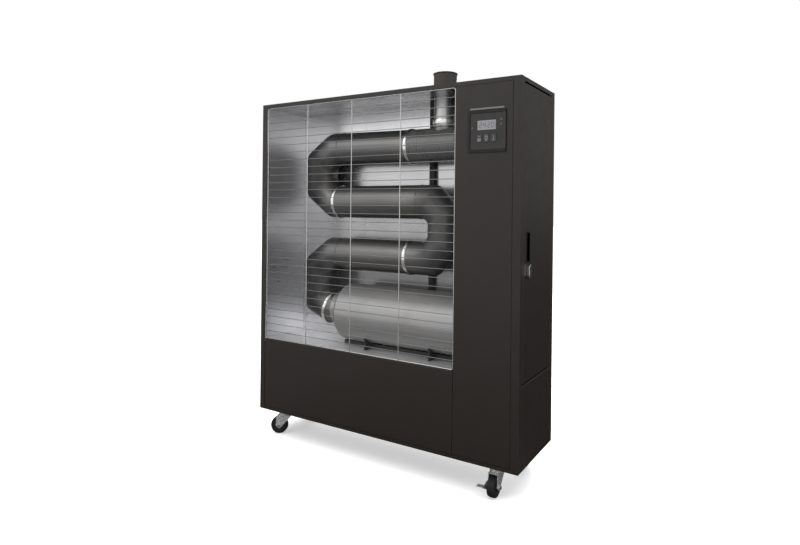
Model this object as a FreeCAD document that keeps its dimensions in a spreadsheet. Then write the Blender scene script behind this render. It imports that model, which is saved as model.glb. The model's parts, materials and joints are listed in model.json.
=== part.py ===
import FreeCAD, Part
import Sketcher
import math
import os

# Diesel infrared heater on casters, in millimetres.
# +X runs to the right along the front, +Y to the back, +Z up.
# The origin is on the floor, under the middle of the cabinet.

doc = FreeCAD.newDocument("infrared_heater")
sheet = doc.addObject("Spreadsheet::Sheet", "Sizes")
nodes = []

V = FreeCAD.Vector
TURN = {
    "x": FreeCAD.Rotation(V(0, 1, 0), 90),
    "y": FreeCAD.Rotation(V(1, 0, 0), -90),
    "z": FreeCAD.Rotation(),
}


class Size:
    """A length together with the formula that binds it to the sheet."""

    def __init__(self, text, value):
        self.text = text
        self.value = value

    def __add__(self, other):
        return joined(self, "+", other, self.value + sized(other).value)

    def __radd__(self, other):
        return sized(other) + self

    def __sub__(self, other):
        return joined(self, "-", other, self.value - sized(other).value)

    def __rsub__(self, other):
        return sized(other) - self

    def __mul__(self, other):
        return joined(self, "*", other, self.value * sized(other).value)

    def __rmul__(self, other):
        return sized(other) * self

    def __truediv__(self, other):
        return joined(self, "/", other, self.value / sized(other).value)

    def __neg__(self):
        return sized(0) - self


def sized(value):
    return value if isinstance(value, Size) else Size(repr(float(value)), float(value))


def joined(first, sign, second, value):
    return Size(f"({first.text} {sign} {sized(second).text})", value)


def root(size):
    return Size(f"sqrt({size.text})", math.sqrt(size.value))


def size(alias, value):
    """Writes a driving dimension to the next row of the sheet."""
    size.row += 1
    sheet.set(f"A{size.row}", alias)
    sheet.set(f"B{size.row}", str(value))
    sheet.setAlias(f"B{size.row}", alias)
    return Size(f"Sizes.{alias}", float(value))


size.row = 0


# Cabinet
cab_width = size("cab_width", 1050)
cab_depth = size("cab_depth", 310)
cab_height = size("cab_height", 1170)
ground_gap = size("ground_gap", 95)
gauge = size("sheet_gauge", 1.2)
fold = size("panel_fold", 15)
seam = size("panel_seam", 0.8)
lid_rim = size("lid_rim", 14)
pan_rim = size("pan_rim", 12)
left_strip = size("left_strip", 24)
column_width = size("column_width", 217)
corner_strip = size("corner_strip", 26)
side_strip = size("side_strip", 26)
sill_height = size("sill_height", 272)
side_seam_height = size("side_seam_height", 254)

# Service door
door_fold = size("door_fold", 12)
door_seam = size("door_seam", 1.5)
door_end_gap = size("door_end_gap", 5)
hinge_gap = size("hinge_gap", 2)
hinge_inset = size("hinge_inset", 12)
hinge_depth = size("hinge_depth", 6)
pivot_radius = size("pivot_radius", 3)
pivot_length = size("pivot_length", 14)
bracket_gauge = size("bracket_gauge", 3)
bracket_reach = size("bracket_reach", 10)
latch_setback = size("latch_setback", 64)
knob_height = size("knob_height", 591)
knob_tall = size("knob_tall", 41)
knob_wide = size("knob_wide", 20)
knob_proud = size("knob_proud", 9)
spindle_radius = size("spindle_radius", 6)
cam_length = size("cam_length", 52)
cam_width = size("cam_width", 16)
cam_gauge = size("cam_gauge", 3)
cam_clearance = size("cam_clearance", 1)
pull_width = size("pull_width", 33)
pull_tall = size("pull_tall", 96)
pull_depth = size("pull_depth", 14)
pull_rim = size("pull_rim", 4)
pull_rim_proud = size("pull_rim_proud", 1)

# Radiant chamber
reflector_setback = size("reflector_setback", 232)
reflector_inset = size("reflector_inset", 10)
tube_setback = size("tube_setback", 155)
tube_radius = size("tube_radius", 60)
tube_wall = size("tube_wall", 1.5)
low_tube_height = size("low_tube_height", 603)
tube_pitch = size("tube_pitch", 197)
left_bend_inset = size("left_bend_inset", 174)
right_bend_inset = size("right_bend_inset", 114)
mitre = size("mitre", 50)
ring_inset = size("ring_inset", 246)
left_ring_run = size("left_ring_run", 96)
drum_joint_run = size("drum_joint_run", 90)
ring_width = size("ring_width", 13)
ring_gauge = size("ring_gauge", 4)
drum_radius = size("drum_radius", 103)
drum_wall = size("drum_wall", 2)
drum_height = size("drum_height", 392)
drum_setback = size("drum_setback", 127)
drum_outlet = size("drum_outlet", 67.8)
drum_bevel = size("drum_bevel", 10)
tee_cap_inset = size("tee_cap_inset", 53)
flue_inset = size("flue_inset", 118)
flue_radius = size("flue_radius", 40)
flue_wall = size("flue_wall", 1.5)
flue_rise = size("flue_rise", 72)
flue_overlap = size("flue_overlap", 30)
flue_flange_radius = size("flue_flange_radius", 58)
flue_flange_gauge = size("flue_flange_gauge", 3)
flue_flare_height = size("flue_flare_height", 14)
flue_collar_rise = size("flue_collar_rise", 70)
flue_collar_width = size("flue_collar_width", 16)
support_inset = size("support_inset", 202)
support_width = size("support_width", 20)
support_gauge = size("support_gauge", 6)
saddle_gauge = size("saddle_gauge", 6)
saddle_half_width = size("saddle_half_width", 70)
saddle_tall = size("saddle_tall", 50)
saddle_inset = size("saddle_inset", 120)

# Guard
wire_radius = size("wire_radius", 1.2)
stay_radius = size("stay_radius", 1.6)
frame_radius = size("frame_radius", 2)
guard_setback = size("guard_setback", 6)
wire_count = 30
bay_count = 4

# Fuel system
tank_length = size("tank_length", 940)
tank_width = size("tank_width", 272)
tank_height = size("tank_height", 205)
tank_wall = size("tank_wall", 1.5)
tank_end_gap = size("tank_end_gap", 10)
bearer_height = size("bearer_height", 22)
bearer_width = size("bearer_width", 30)
bearer_spacing = size("bearer_spacing", 560)
neck_radius = size("neck_radius", 26)
neck_wall = size("neck_wall", 2)
neck_rise = size("neck_rise", 22)
filler_inset = size("filler_inset", 62)
filler_setback = size("filler_setback", 51)
cap_radius = size("cap_radius", 31)
cap_height = size("cap_height", 20)
cap_grip_radius = size("cap_grip_radius", 3)
gasket_gauge = size("gasket_gauge", 2)
cap_grips = 12
pump_radius = size("pump_radius", 20)
pump_height = size("pump_height", 62)
pump_base = size("pump_base", 46)
pump_foot = size("pump_foot", 4)
pump_inset = size("pump_inset", 30)
pump_setback = size("pump_setback", 255)
line_radius = size("line_radius", 3)
line_bend = size("line_bend", 20)

# Burner
burner_inset = size("burner_inset", 102)
scroll_radius = size("scroll_radius", 85)
scroll_width = size("scroll_width", 80)
scroll_wall = size("scroll_wall", 3)
inlet_radius = size("inlet_radius", 46)
blast_radius = size("blast_radius", 38)
blast_wall = size("blast_wall", 2)
blast_reach = size("blast_reach", 106)
burner_flange = size("burner_flange", 150)
burner_flange_gauge = size("burner_flange_gauge", 4)
motor_radius = size("motor_radius", 45)
motor_length = size("motor_length", 96)
motor_bell = size("motor_bell", 14)
shaft_radius = size("shaft_radius", 6)
shaft_grip = size("shaft_grip", 40)
impeller_radius = size("impeller_radius", 70)
impeller_width = size("impeller_width", 54)
impeller_plate = size("impeller_plate", 2)
impeller_hub_radius = size("impeller_hub_radius", 14)
blade_depth = size("blade_depth", 13)
blade_gauge = size("blade_gauge", 1.2)
blade_count = 24
shutter_gauge = size("shutter_gauge", 2)
shutter_radius = size("shutter_radius", 52)
shutter_pivot_rise = size("shutter_pivot_rise", 66)
shutter_pivot_radius = size("shutter_pivot_radius", 4)
transformer_length = size("transformer_length", 90)
transformer_width = size("transformer_width", 60)
transformer_height = size("transformer_height", 48)

# Control panel
control_inset = size("control_inset", 48)
control_drop = size("control_drop", 96)
control_width = size("control_width", 123)
control_tall = size("control_tall", 126)
bezel_proud = size("bezel_proud", 5)
bezel_border = size("bezel_border", 8)
bezel_lip = size("bezel_lip", 6)
bezel_face = size("bezel_face", 2.5)
face_depth = size("face_depth", 2)
control_depth = size("control_depth", 42)
control_wall = size("control_wall", 2)
board_gauge = size("board_gauge", 1.6)
board_setback = size("board_setback", 16)
screen_width = size("screen_width", 60)
screen_tall = size("screen_tall", 29)
screen_drop = size("screen_drop", 30)
lens_gauge = size("lens_gauge", 2)
lens_lip = size("lens_lip", 2)
lamp_radius = size("lamp_radius", 2.5)
lamp_offset = size("lamp_offset", 47)
button_width = size("button_width", 16)
button_tall = size("button_tall", 24)
button_drop = size("button_drop", 72)
button_pitch = size("button_pitch", 23.3)
button_proud = size("button_proud", 2)
button_lip = size("button_lip", 1.5)
inlet_width = size("inlet_width", 50)
inlet_tall = size("inlet_tall", 30)
inlet_flange = size("inlet_flange", 3)
inlet_body_width = size("inlet_body_width", 30)
inlet_body_tall = size("inlet_body_tall", 24)
inlet_depth = size("inlet_depth", 24)
inlet_height = size("inlet_height", 330)
inlet_inset = size("inlet_inset", 85)

# Back louvres
louvre_count = 14
louvre_pitch = size("louvre_pitch", 18)
louvre_width = size("louvre_width", 150)
louvre_slot = size("louvre_slot", 6)
louvre_inset = size("louvre_inset", 112)
louvre_low = size("louvre_low", 420)

# Casters
caster_inset = size("caster_inset", 87)
caster_setback = size("caster_setback", 50)
wheel_radius = size("wheel_radius", 32.5)
wheel_width = size("wheel_width", 24)
tread_bevel = size("tread_bevel", 4)
hub_radius = size("hub_radius", 19)
hub_recess = size("hub_recess", 3)
trail = size("trail", 22)
fork_gauge = size("fork_gauge", 2.5)
crown_clearance = size("crown_clearance", 5)
wheel_side_gap = size("wheel_side_gap", 2)
crown_half = size("crown_half", 24)
leg_foot = size("leg_foot", 11)
axle_radius = size("axle_radius", 4)
axle_head_radius = size("axle_head_radius", 7)
axle_head = size("axle_head", 4)
caster_plate_side = size("caster_plate_side", 64)
caster_plate_gauge = size("caster_plate_gauge", 3)
race_radius = size("race_radius", 22)
kingpin_radius = size("kingpin_radius", 6)
kingpin_nut_radius = size("kingpin_nut_radius", 10)
kingpin_nut = size("kingpin_nut", 5)
brake_gauge = size("brake_gauge", 2.5)
brake_reach = size("brake_reach", 44)
brake_tab = size("brake_tab", 21)
brake_tab_length = size("brake_tab_length", 16)
brake_rise = size("brake_rise", 8)
brake_arm = size("brake_arm", 22)

# Screws
screw_head_radius = size("screw_head_radius", 4)
screw_head = size("screw_head", 1.6)
screw_radius = size("screw_radius", 2)
screw_length = size("screw_length", 8)
screw_edge = size("screw_edge", 9)
screw_rows = 5

# Fits
running_fit = size("running_fit", 0.05)
hole_clearance = size("hole_clearance", 1)
slip_gap = size("slip_gap", 0.3)
cut_past = size("cut_past", 2)

# Planes of the cabinet
right = cab_width / 2
left = -right
back = cab_depth / 2
front = -back
bottom = ground_gap
roof = bottom + cab_height
panel_low = bottom + pan_rim
panel_high = roof - lid_rim
open_left = left + left_strip
open_right = right - column_width
sill = bottom + sill_height
deck_top = sill - fold
partition_left = open_right - gauge
reflector_y = front + reflector_setback
reflector_x = left + reflector_inset
post_x = right - corner_strip
side_front = front + side_strip
side_back = back - side_strip
left_screw_x = open_left - screw_edge
right_screw_x = post_x + screw_edge

# Axes of the hot parts
tube_y = front + tube_setback
drum_y = front + drum_setback
drum_z = bottom + drum_height
low_z = bottom + low_tube_height
mid_z = low_z + tube_pitch
high_z = mid_z + tube_pitch
left_bend = left + left_bend_inset
right_bend = open_right - right_bend_inset
ring_x = open_right - ring_inset
left_ring_x = left_bend + left_ring_run
drum_joint_x = left_bend + drum_joint_run
drum_left = drum_joint_x + drum_outlet
drum_length = partition_left - drum_left
tee_cap_x = open_right - tee_cap_inset
flue_x = open_right - flue_inset
riser_radius = flue_radius - flue_wall - slip_gap
burner_x = open_right + burner_inset
scroll_front = drum_y - scroll_width / 2
scroll_back = drum_y + scroll_width / 2


# Document objects
def bind(thing, prop, formula):
    thing.setExpression(prop, sized(formula).text)


def place(thing, x, y, z):
    for letter, formula in zip("xyz", (x, y, z)):
        bind(thing, f"Placement.Base.{letter}", formula)


def box(label, x, y, z):
    thing = doc.addObject("Part::Box", label)
    for prop, (low, high) in zip(("Length", "Width", "Height"), (x, y, z)):
        bind(thing, prop, sized(high) - low)
    place(thing, x[0], y[0], z[0])
    return thing


def cylinder(label, along, x, y, z, radius):
    """A rod along one axis: that axis has its two ends, the others the centre."""
    thing = doc.addObject("Part::Cylinder", label)
    thing.Placement = FreeCAD.Placement(V(), TURN[along])
    ends = {"x": x, "y": y, "z": z}
    low, high = ends[along]
    bind(thing, "Radius", radius)
    bind(thing, "Height", sized(high) - low)
    ends[along] = low
    place(thing, ends["x"], ends["y"], ends["z"])
    return thing


def fuse(label, *things):
    thing = doc.addObject("Part::MultiFuse", label)
    thing.Shapes = list(things)
    return thing


def group(label, *things):
    thing = doc.addObject("Part::Compound", label)
    thing.Links = list(things)
    return thing


def cut(label, base, *tools):
    thing = doc.addObject("Part::Cut", label)
    thing.Base = base
    thing.Tool = tools[0] if len(tools) == 1 else fuse(label + "_tools", *tools)
    return thing


def tray(label, x, y, z, wall, open_side):
    """A folded sheet: a box with one open side, such as "+y"."""
    inner = []
    for letter, (low, high) in zip("xyz", (x, y, z)):
        inner_low = low - cut_past if open_side == "-" + letter else low + wall
        inner_high = high + cut_past if open_side == "+" + letter else high - wall
        inner.append((inner_low, inner_high))
    return cut(label, box(label + "_blank", x, y, z), box(label + "_inside", *inner))


def node(label, thing):
    """Names a finished sub-part, which is written to its own file."""
    thing.Label = label
    nodes.append(thing)
    return thing


def origin_plane(body, role):
    return next(feature for feature in body.Origin.OriginFeatures if feature.Role == role)


def body_sketch(body, role, name):
    sketch = body.newObject("Sketcher::SketchObject", name)
    sketch.AttachmentSupport = [(origin_plane(body, role), "")]
    sketch.MapMode = "FlatFace"
    return sketch


def fix_point(sketch, edge, end, corner):
    for kind, formula in zip(("DistanceX", "DistanceY"), corner):
        place_at = sized(formula)
        index = sketch.addConstraint(Sketcher.Constraint(kind, -1, 1, edge, end, place_at.value))
        sketch.setExpression(f"Constraints[{index}]", place_at.text)


def draw_lines(sketch, corners, closed):
    """Straight edges through corners that are bound to the sheet."""
    points = [V(sized(u).value, sized(v).value, 0) for u, v in corners]
    count = len(points) if closed else len(points) - 1
    first = sketch.GeometryCount
    for i in range(count):
        sketch.addGeometry(Part.LineSegment(points[i], points[(i + 1) % len(points)]))
    for i in range(count - 1):
        sketch.addConstraint(Sketcher.Constraint("Coincident", first + i, 2, first + i + 1, 1))
    if closed:
        sketch.addConstraint(Sketcher.Constraint("Coincident", first + count - 1, 2, first, 1))
    for i in range(count):
        fix_point(sketch, first + i, 1, corners[i])
    if not closed:
        fix_point(sketch, first + count - 1, 2, corners[-1])


def draw_circle(sketch, u, v, radius):
    centre = V(sized(u).value, sized(v).value, 0)
    index = sketch.addGeometry(Part.Circle(centre, V(0, 0, 1), sized(radius).value))
    fix_point(sketch, index, 3, (u, v))
    constraint = sketch.addConstraint(Sketcher.Constraint("Radius", index, sized(radius).value))
    sketch.setExpression(f"Constraints[{constraint}]", sized(radius).text)


def turned(label, corners, along, x, y, z):
    """A body turned about its own axis from corners given as (along, radius)."""
    body = doc.addObject("PartDesign::Body", label)
    outline = body_sketch(body, "XZ_Plane", label + "_outline")
    draw_lines(outline, corners, closed=True)
    turning = body.newObject("PartDesign::Revolution", label + "_turning")
    turning.Profile = outline
    turning.ReferenceAxis = (outline, ["H_Axis"])
    turning.Angle = 360
    facing = {
        "x": FreeCAD.Rotation(),
        "y": FreeCAD.Rotation(V(0, 0, 1), 90),
        "z": FreeCAD.Rotation(V(0, 1, 0), -90),
    }
    body.Placement = FreeCAD.Placement(V(), facing[along])
    place(body, x, y, z)
    return body


def pad(body, sketch, name, length, side="One side"):
    feature = body.newObject("PartDesign::Pad", name)
    feature.Profile = sketch
    feature.SideType = side
    bind(feature, "Length", length)
    return feature


def pocket(body, sketch, name, length, side="One side"):
    feature = body.newObject("PartDesign::Pocket", name)
    feature.Profile = sketch
    feature.SideType = side
    bind(feature, "Length", length)
    return feature


def pipe(label, route, radius, y):
    """A mitred round bar along a route of (x, z) corners in the plane of y."""
    spine = doc.addObject("Sketcher::SketchObject", label + "_route")
    spine.Placement = FreeCAD.Placement(V(), FreeCAD.Rotation(V(1, 0, 0), 90))
    bind(spine, "Placement.Base.y", y)
    draw_lines(spine, route, closed=False)
    section = doc.addObject("Part::Circle", label + "_section")
    section.Placement = FreeCAD.Placement(V(), TURN["x"])
    bind(section, "Radius", radius)
    place(section, route[0][0], y, route[0][1])
    thing = doc.addObject("Part::Sweep", label)
    thing.Sections = [section]
    thing.Spine = (spine, [f"Edge{i + 1}" for i in range(len(route) - 1)])
    thing.Solid = True
    thing.Transition = "Right corner"
    return thing


# Cabinet shell
def make_base_pan():
    pan = tray("base_pan_sheet", (left, right), (front, back), (bottom, panel_low), gauge, "+z")
    bars = []
    for side in (-1, 1):
        middle = bearer_spacing * side / 2
        bars.append(box(
            "tank_bearer",
            (middle - bearer_width / 2, middle + bearer_width / 2),
            (front + fold, back - fold),
            (bottom + gauge / 2, bottom + bearer_height),
        ))
    node("base_pan", fuse("base_pan", pan, *bars))


def make_top_cover():
    lid = tray("top_cover_sheet", (left, right), (front, back), (panel_high, roof), gauge, "-z")
    hole = cylinder(
        "flue_hole", "z", flue_x, tube_y, (panel_high, roof + cut_past), riser_radius + hole_clearance,
    )
    node("top_cover", cut("top_cover", lid, hole))


def screw_heights():
    low = panel_low + fold
    high = panel_high - fold
    return [low + (high - low) * i / (screw_rows - 1) for i in range(screw_rows)]


def screw_holes(x):
    return [
        cylinder("screw_hole", "y", x, (back - screw_length, back + cut_past), z, screw_radius + slip_gap)
        for z in screw_heights()
    ]


def make_left_side_panel():
    blank = box("left_side_blank", (left, open_left), (front, back), (panel_low, panel_high))
    inside = box(
        "left_side_inside",
        (left + gauge, open_left + cut_past),
        (front + gauge, back - gauge),
        (panel_low - cut_past, panel_high + cut_past),
    )
    node("left_side_panel", cut("left_side_panel", blank, inside, *screw_holes(left_screw_x)))


def make_back_panel():
    """A folded back with a ladder of air slots behind the burner."""
    body = doc.addObject("PartDesign::Body", "back_panel")
    half_width = (post_x - open_left) / 2 - seam
    tall = panel_high - panel_low
    blank = body_sketch(body, "XZ_Plane", "back_blank")
    draw_lines(blank, [(-half_width, 0), (half_width, 0), (half_width, tall), (-half_width, tall)], True)
    pad(body, blank, "back_sheet", fold)
    inside = body_sketch(body, "XZ_Plane", "back_inside")
    inside.AttachmentOffset = FreeCAD.Placement(V(0, 0, gauge.value), FreeCAD.Rotation())
    bind(inside, "AttachmentOffset.Base.z", gauge)
    inner = half_width - gauge
    draw_lines(inside, [(-inner, gauge), (inner, gauge), (inner, tall - gauge), (-inner, tall - gauge)], True)
    hollow = pocket(body, inside, "back_hollow", fold)
    hollow.Reversed = True
    middle = (post_x + open_left) / 2
    slot_x = right - louvre_inset - middle
    inlet_x = right - inlet_inset - middle
    inlet_z = bottom + inlet_height - panel_low
    cutouts = []
    for i in range(louvre_count):
        cutouts.append((slot_x, louvre_low + louvre_pitch * i, louvre_width / 2, louvre_slot / 2))
    cutouts.append((inlet_x, inlet_z, inlet_body_width / 2 + slip_gap, inlet_body_tall / 2 + slip_gap))
    slots = body_sketch(body, "XZ_Plane", "air_slots")
    for u, v, half_u, half_v in cutouts:
        draw_lines(slots, [(u - half_u, v - half_v), (u + half_u, v - half_v),
                           (u + half_u, v + half_v), (u - half_u, v + half_v)], True)
    through = pocket(body, slots, "slots_cut", fold)
    through.Reversed = True
    place(body, middle, back, panel_low)
    node("back_panel", body)


def make_front_panels():
    lower = tray(
        "lower_front_panel",
        (open_left + seam, open_right - seam), (front, front + fold), (panel_low, sill), gauge, "+y",
    )
    node("lower_front_panel", lower)
    column = tray(
        "column_sheet",
        (open_right, post_x - seam), (front, front + fold), (panel_low, panel_high), gauge, "+y",
    )
    window = box(
        "control_window",
        (control_left + bezel_lip - slip_gap, control_right - bezel_lip + slip_gap),
        (front - cut_past, front + gauge + cut_past),
        (control_low + bezel_lip - slip_gap, control_high - bezel_lip + slip_gap),
    )
    node("control_column_panel", cut("control_column_panel", column, window))


def make_corner_post(label, y_face, y_lip, toward, holes):
    """A folded angle on a right-hand corner, with a stop for the side panels."""
    ys = sorted((y_face, y_lip), key=lambda y: y.value)
    blank = box(label + "_blank", (post_x, right), ys, (panel_low, panel_high))
    if toward > 0:
        inner_y = (y_face + gauge, y_lip - gauge)
        open_y = (y_face + fold, y_lip + cut_past)
    else:
        inner_y = (y_lip + gauge, y_face - gauge)
        open_y = (y_lip - cut_past, y_face - fold)
    past = (panel_low - cut_past, panel_high + cut_past)
    inside = box(label + "_inside", (post_x - cut_past, right - gauge), inner_y, past)
    mouth = box(label + "_mouth", (post_x - cut_past, right - fold), open_y, past)
    node(label, cut(label, blank, inside, mouth, *holes))


def make_lower_side_panel():
    node("lower_side_panel", tray(
        "lower_side_panel",
        (right - fold, right), (side_front + seam, side_back - seam),
        (panel_low, bottom + side_seam_height), gauge, "-x",
    ))


# Chamber sheets
def make_partition():
    wall = box(
        "partition_sheet", (partition_left, open_right), (front + fold, back - fold), (deck_top, panel_high),
    )
    hole = cylinder(
        "blast_hole", "x", (partition_left - cut_past, open_right + cut_past), drum_y, drum_z,
        blast_radius + hole_clearance,
    )
    node("partition_wall", cut("partition_wall", wall, hole))


def make_tank_deck():
    plate = box(
        "deck_sheet", (left + gauge, right - fold), (front + fold, back - fold), (deck_top - gauge, deck_top),
    )
    through = (deck_top - fold, deck_top + fold)
    neck_room = neck_radius + hole_clearance
    # the corner is left off round the filler neck
    neck_notch = box("deck_neck_notch", (filler_x - neck_room, right), (front, filler_y + neck_room), through)
    line_hole = cylinder("deck_line_hole", "z", pump_x, pump_y, through, line_radius + hole_clearance)
    node("tank_deck", cut("tank_deck", plate, neck_notch, line_hole))


def make_reflectors():
    tall = (deck_top, panel_high)
    node("reflector_back", box(
        "reflector_back", (reflector_x, partition_left), (reflector_y, reflector_y + gauge), tall,
    ))
    node("reflector_left", box(
        "reflector_left", (reflector_x - gauge, reflector_x), (front + gauge, reflector_y + gauge), tall,
    ))
    node("reflector_floor", tray(
        "reflector_floor", (reflector_x, partition_left), (front + fold, reflector_y), (deck_top, sill),
        gauge, "-z",
    ))
    ceiling = box(
        "ceiling_sheet", (reflector_x - gauge, open_right), (front + gauge, reflector_y + gauge),
        (panel_high, panel_high + gauge),
    )
    hole = cylinder(
        "ceiling_hole", "z", flue_x, tube_y, (panel_high - cut_past, panel_high + fold),
        riser_radius + hole_clearance,
    )
    node("reflector_top", cut("reflector_top", ceiling, hole))


def make_guard():
    """Welded wire guard: a frame, level wires, and upright stays in front of them."""
    wire_y = front + guard_setback
    stay_y = wire_y - wire_radius - stay_radius * 0.75
    low = sill + frame_radius
    high = panel_high - frame_radius
    west = open_left + frame_radius
    east = open_right - frame_radius
    rods = []
    for x in (west, east):
        rods.append(cylinder("guard_side", "z", x, wire_y, (sill, panel_high), frame_radius))
    for z in (low, high):
        rods.append(cylinder("guard_rail", "x", (open_left, open_right), wire_y, z, frame_radius))
    for i in range(1, wire_count + 1):
        z = low + (high - low) * i / (wire_count + 1)
        rods.append(cylinder("guard_wire", "x", (west, east), wire_y, z, wire_radius))
    for i in range(1, bay_count):
        x = west + (east - west) * i / bay_count
        rods.append(cylinder(
            "guard_stay", "z", x, stay_y, (sill + wire_radius, panel_high - wire_radius), stay_radius,
        ))
    node("front_grille", fuse("front_grille", *rods))


# Hot parts
def make_drum():
    """The combustion drum: a dished shell, open to the burner, with an offset outlet."""
    inner = drum_radius - drum_wall
    mouth = blast_radius + hole_clearance
    shell = turned("drum_shell", [
        (drum_length, mouth),
        (drum_length, drum_radius),
        (drum_bevel, drum_radius),
        (0, drum_radius - drum_bevel),
        (0, 0),
        (drum_wall, 0),
        (drum_wall, drum_radius - drum_bevel - drum_wall / 2),
        (drum_bevel + drum_wall / 2, inner),
        (drum_length - drum_wall, inner),
        (drum_length - drum_wall, mouth),
    ], "x", drum_left, drum_y, drum_z)
    outlet = cylinder(
        "drum_outlet", "x", (drum_joint_x, drum_left + drum_wall / 2), tube_y, drum_z, tube_radius,
    )
    bore = cylinder(
        "drum_outlet_bore", "x", (drum_joint_x - cut_past, drum_left + drum_wall * 2), tube_y, drum_z,
        tube_radius - tube_wall,
    )
    node("combustion_drum", cut("combustion_drum", fuse("drum_body", shell, outlet), bore))


def tube(label, route):
    outer = pipe(label + "_outside", route, tube_radius, tube_y)
    inner = pipe(label + "_bore", route, tube_radius - tube_wall, tube_y)
    node(label, cut(label, outer, inner))


def left_turn(low, high):
    """Corners of a mitred return bend on the left, from the lower run to the upper."""
    return [
        (left_bend + mitre, low),
        (left_bend, low + mitre),
        (left_bend, high - mitre),
        (left_bend + mitre, high),
    ]


lower_route = [(drum_joint_x, drum_z)] + left_turn(drum_z, low_z) + [(ring_x, low_z)]


def make_tubes():
    tube("lower_radiant_tube", lower_route)
    tube("middle_radiant_tube", [
        (ring_x, low_z),
        (right_bend - mitre, low_z),
        (right_bend, low_z + mitre),
        (right_bend, mid_z - mitre),
        (right_bend - mitre, mid_z),
        (left_ring_x, mid_z),
    ])
    tube("upper_radiant_tube", [(left_ring_x, mid_z)] + left_turn(mid_z, high_z) + [(ring_x, high_z)])


def make_flue():
    run = cylinder("tee_run", "x", (ring_x, tee_cap_x), tube_y, high_z, tube_radius)
    riser_top = roof + flue_overlap
    riser = cylinder("tee_riser", "z", flue_x, tube_y, (high_z, riser_top), riser_radius)
    run_bore = cylinder(
        "tee_run_bore", "x", (ring_x - cut_past, tee_cap_x - tube_wall), tube_y, high_z,
        tube_radius - tube_wall,
    )
    riser_bore = cylinder(
        "tee_riser_bore", "z", flue_x, tube_y, (high_z, riser_top + cut_past), riser_radius - flue_wall,
    )
    node("flue_tee", cut("flue_tee", fuse("tee_blank", run, riser), run_bore, riser_bore))
    bore = flue_radius - flue_wall
    node("flue_spigot", turned("flue_spigot", [
        (0, bore),
        (0, flue_flange_radius),
        (flue_flange_gauge, flue_flange_radius),
        (flue_flange_gauge + flue_flare_height, flue_radius),
        (flue_rise, flue_radius),
        (flue_rise, bore),
    ], "z", flue_x, tube_y, roof))


def band(label, x, z):
    outer = cylinder(label + "_outside", "x", (x - ring_width / 2, x + ring_width / 2), tube_y, z,
                     tube_radius + ring_gauge)
    inner = cylinder(
        label + "_bore", "x", (x - ring_width, x + ring_width), tube_y, z, tube_radius + slip_gap,
    )
    return cut(label, outer, inner)


def make_rings():
    """Clamp bands over the joints, one of them on the slanted joint of the lowest bend."""
    bands = [
        band("low_band", ring_x, low_z),
        band("mid_band", left_ring_x, mid_z),
        band("high_band", ring_x, high_z),
    ]
    thick = pipe("slant_band_outside", lower_route, tube_radius + ring_gauge, tube_y)
    thin = pipe("slant_band_bore", lower_route, tube_radius + slip_gap, tube_y)
    reach = tube_radius * 2
    slant = 22.5
    slab = box("slant_slab", (0, ring_width), (0, reach * 2), (0, reach * 2))
    slab.Placement = FreeCAD.Placement(V(), FreeCAD.Rotation(V(0, 1, 0), slant))
    half_turn = math.radians(slant)
    lean_x = ring_width / 2 * math.cos(half_turn) + reach * math.sin(half_turn)
    lean_z = reach * math.cos(half_turn) - ring_width / 2 * math.sin(half_turn)
    place(slab, left_bend + mitre - lean_x, tube_y - reach, drum_z - lean_z)
    slice_ = doc.addObject("Part::Common", "slant_slice")
    slice_.Base = thick
    slice_.Tool = slab
    bands.append(cut("slant_band", slice_, thin))
    collar_low = high_z + flue_collar_rise
    collar = cut(
        "flue_band",
        cylinder("flue_band_outside", "z", flue_x, tube_y, (collar_low, collar_low + flue_collar_width),
                 riser_radius + ring_gauge),
        cylinder("flue_band_bore", "z", flue_x, tube_y, (collar_low - ring_width, collar_low + reach),
                 riser_radius + slip_gap),
    )
    node("joint_rings", group("joint_rings", *bands, collar))


def make_supports():
    post_mid = open_right - support_inset
    post_front = tube_y + tube_radius + slip_gap
    drop = post_front - drum_y
    foot_z = drum_z + root(drum_radius * drum_radius - drop * drop) + slip_gap
    post = box(
        "support_post", (post_mid - support_width / 2, post_mid + support_width / 2),
        (post_front, post_front + support_gauge), (foot_z, panel_high),
    )
    saddles = []
    for x in (drum_left + saddle_inset, partition_left - saddle_inset):
        plate = box(
            "saddle_plate", (x, x + saddle_gauge), (drum_y - saddle_half_width, drum_y + saddle_half_width),
            (sill, sill + saddle_tall),
        )
        seat = cylinder(
            "saddle_seat", "x", (x - cut_past, x + saddle_gauge + cut_past), drum_y, drum_z,
            drum_radius + slip_gap,
        )
        saddles.append(cut("saddle", plate, seat))
    node("tube_supports", group("tube_supports", post, *saddles))


# Fuel system
tank_right = right - fold - tank_end_gap
tank_low = bottom + bearer_height
tank_top = tank_low + tank_height
filler_x = right - filler_inset
filler_y = front + filler_setback
neck_top = deck_top + neck_rise
pump_x = open_right + pump_inset
pump_y = front + pump_setback


def make_tank():
    shell = box("tank_shell", (tank_right - tank_length, tank_right), (-tank_width / 2, tank_width / 2),
                (tank_low, tank_top))
    inside = box(
        "tank_inside", (tank_right - tank_length + tank_wall, tank_right - tank_wall),
        (-tank_width / 2 + tank_wall, tank_width / 2 - tank_wall),
        (tank_low + tank_wall, tank_top - tank_wall),
    )
    mouth = cylinder("tank_mouth", "z", filler_x, filler_y, (tank_top - tank_wall * 2, tank_top + cut_past),
                     neck_radius - neck_wall)
    node("fuel_tank", cut("fuel_tank", shell, inside, mouth))
    neck = cylinder("neck_outside", "z", filler_x, filler_y, (tank_top, neck_top), neck_radius)
    bore = cylinder("neck_bore", "z", filler_x, filler_y, (tank_top - cut_past, neck_top + cut_past),
                    neck_radius - neck_wall)
    node("filler_neck", cut("filler_neck", neck, bore))


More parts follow.
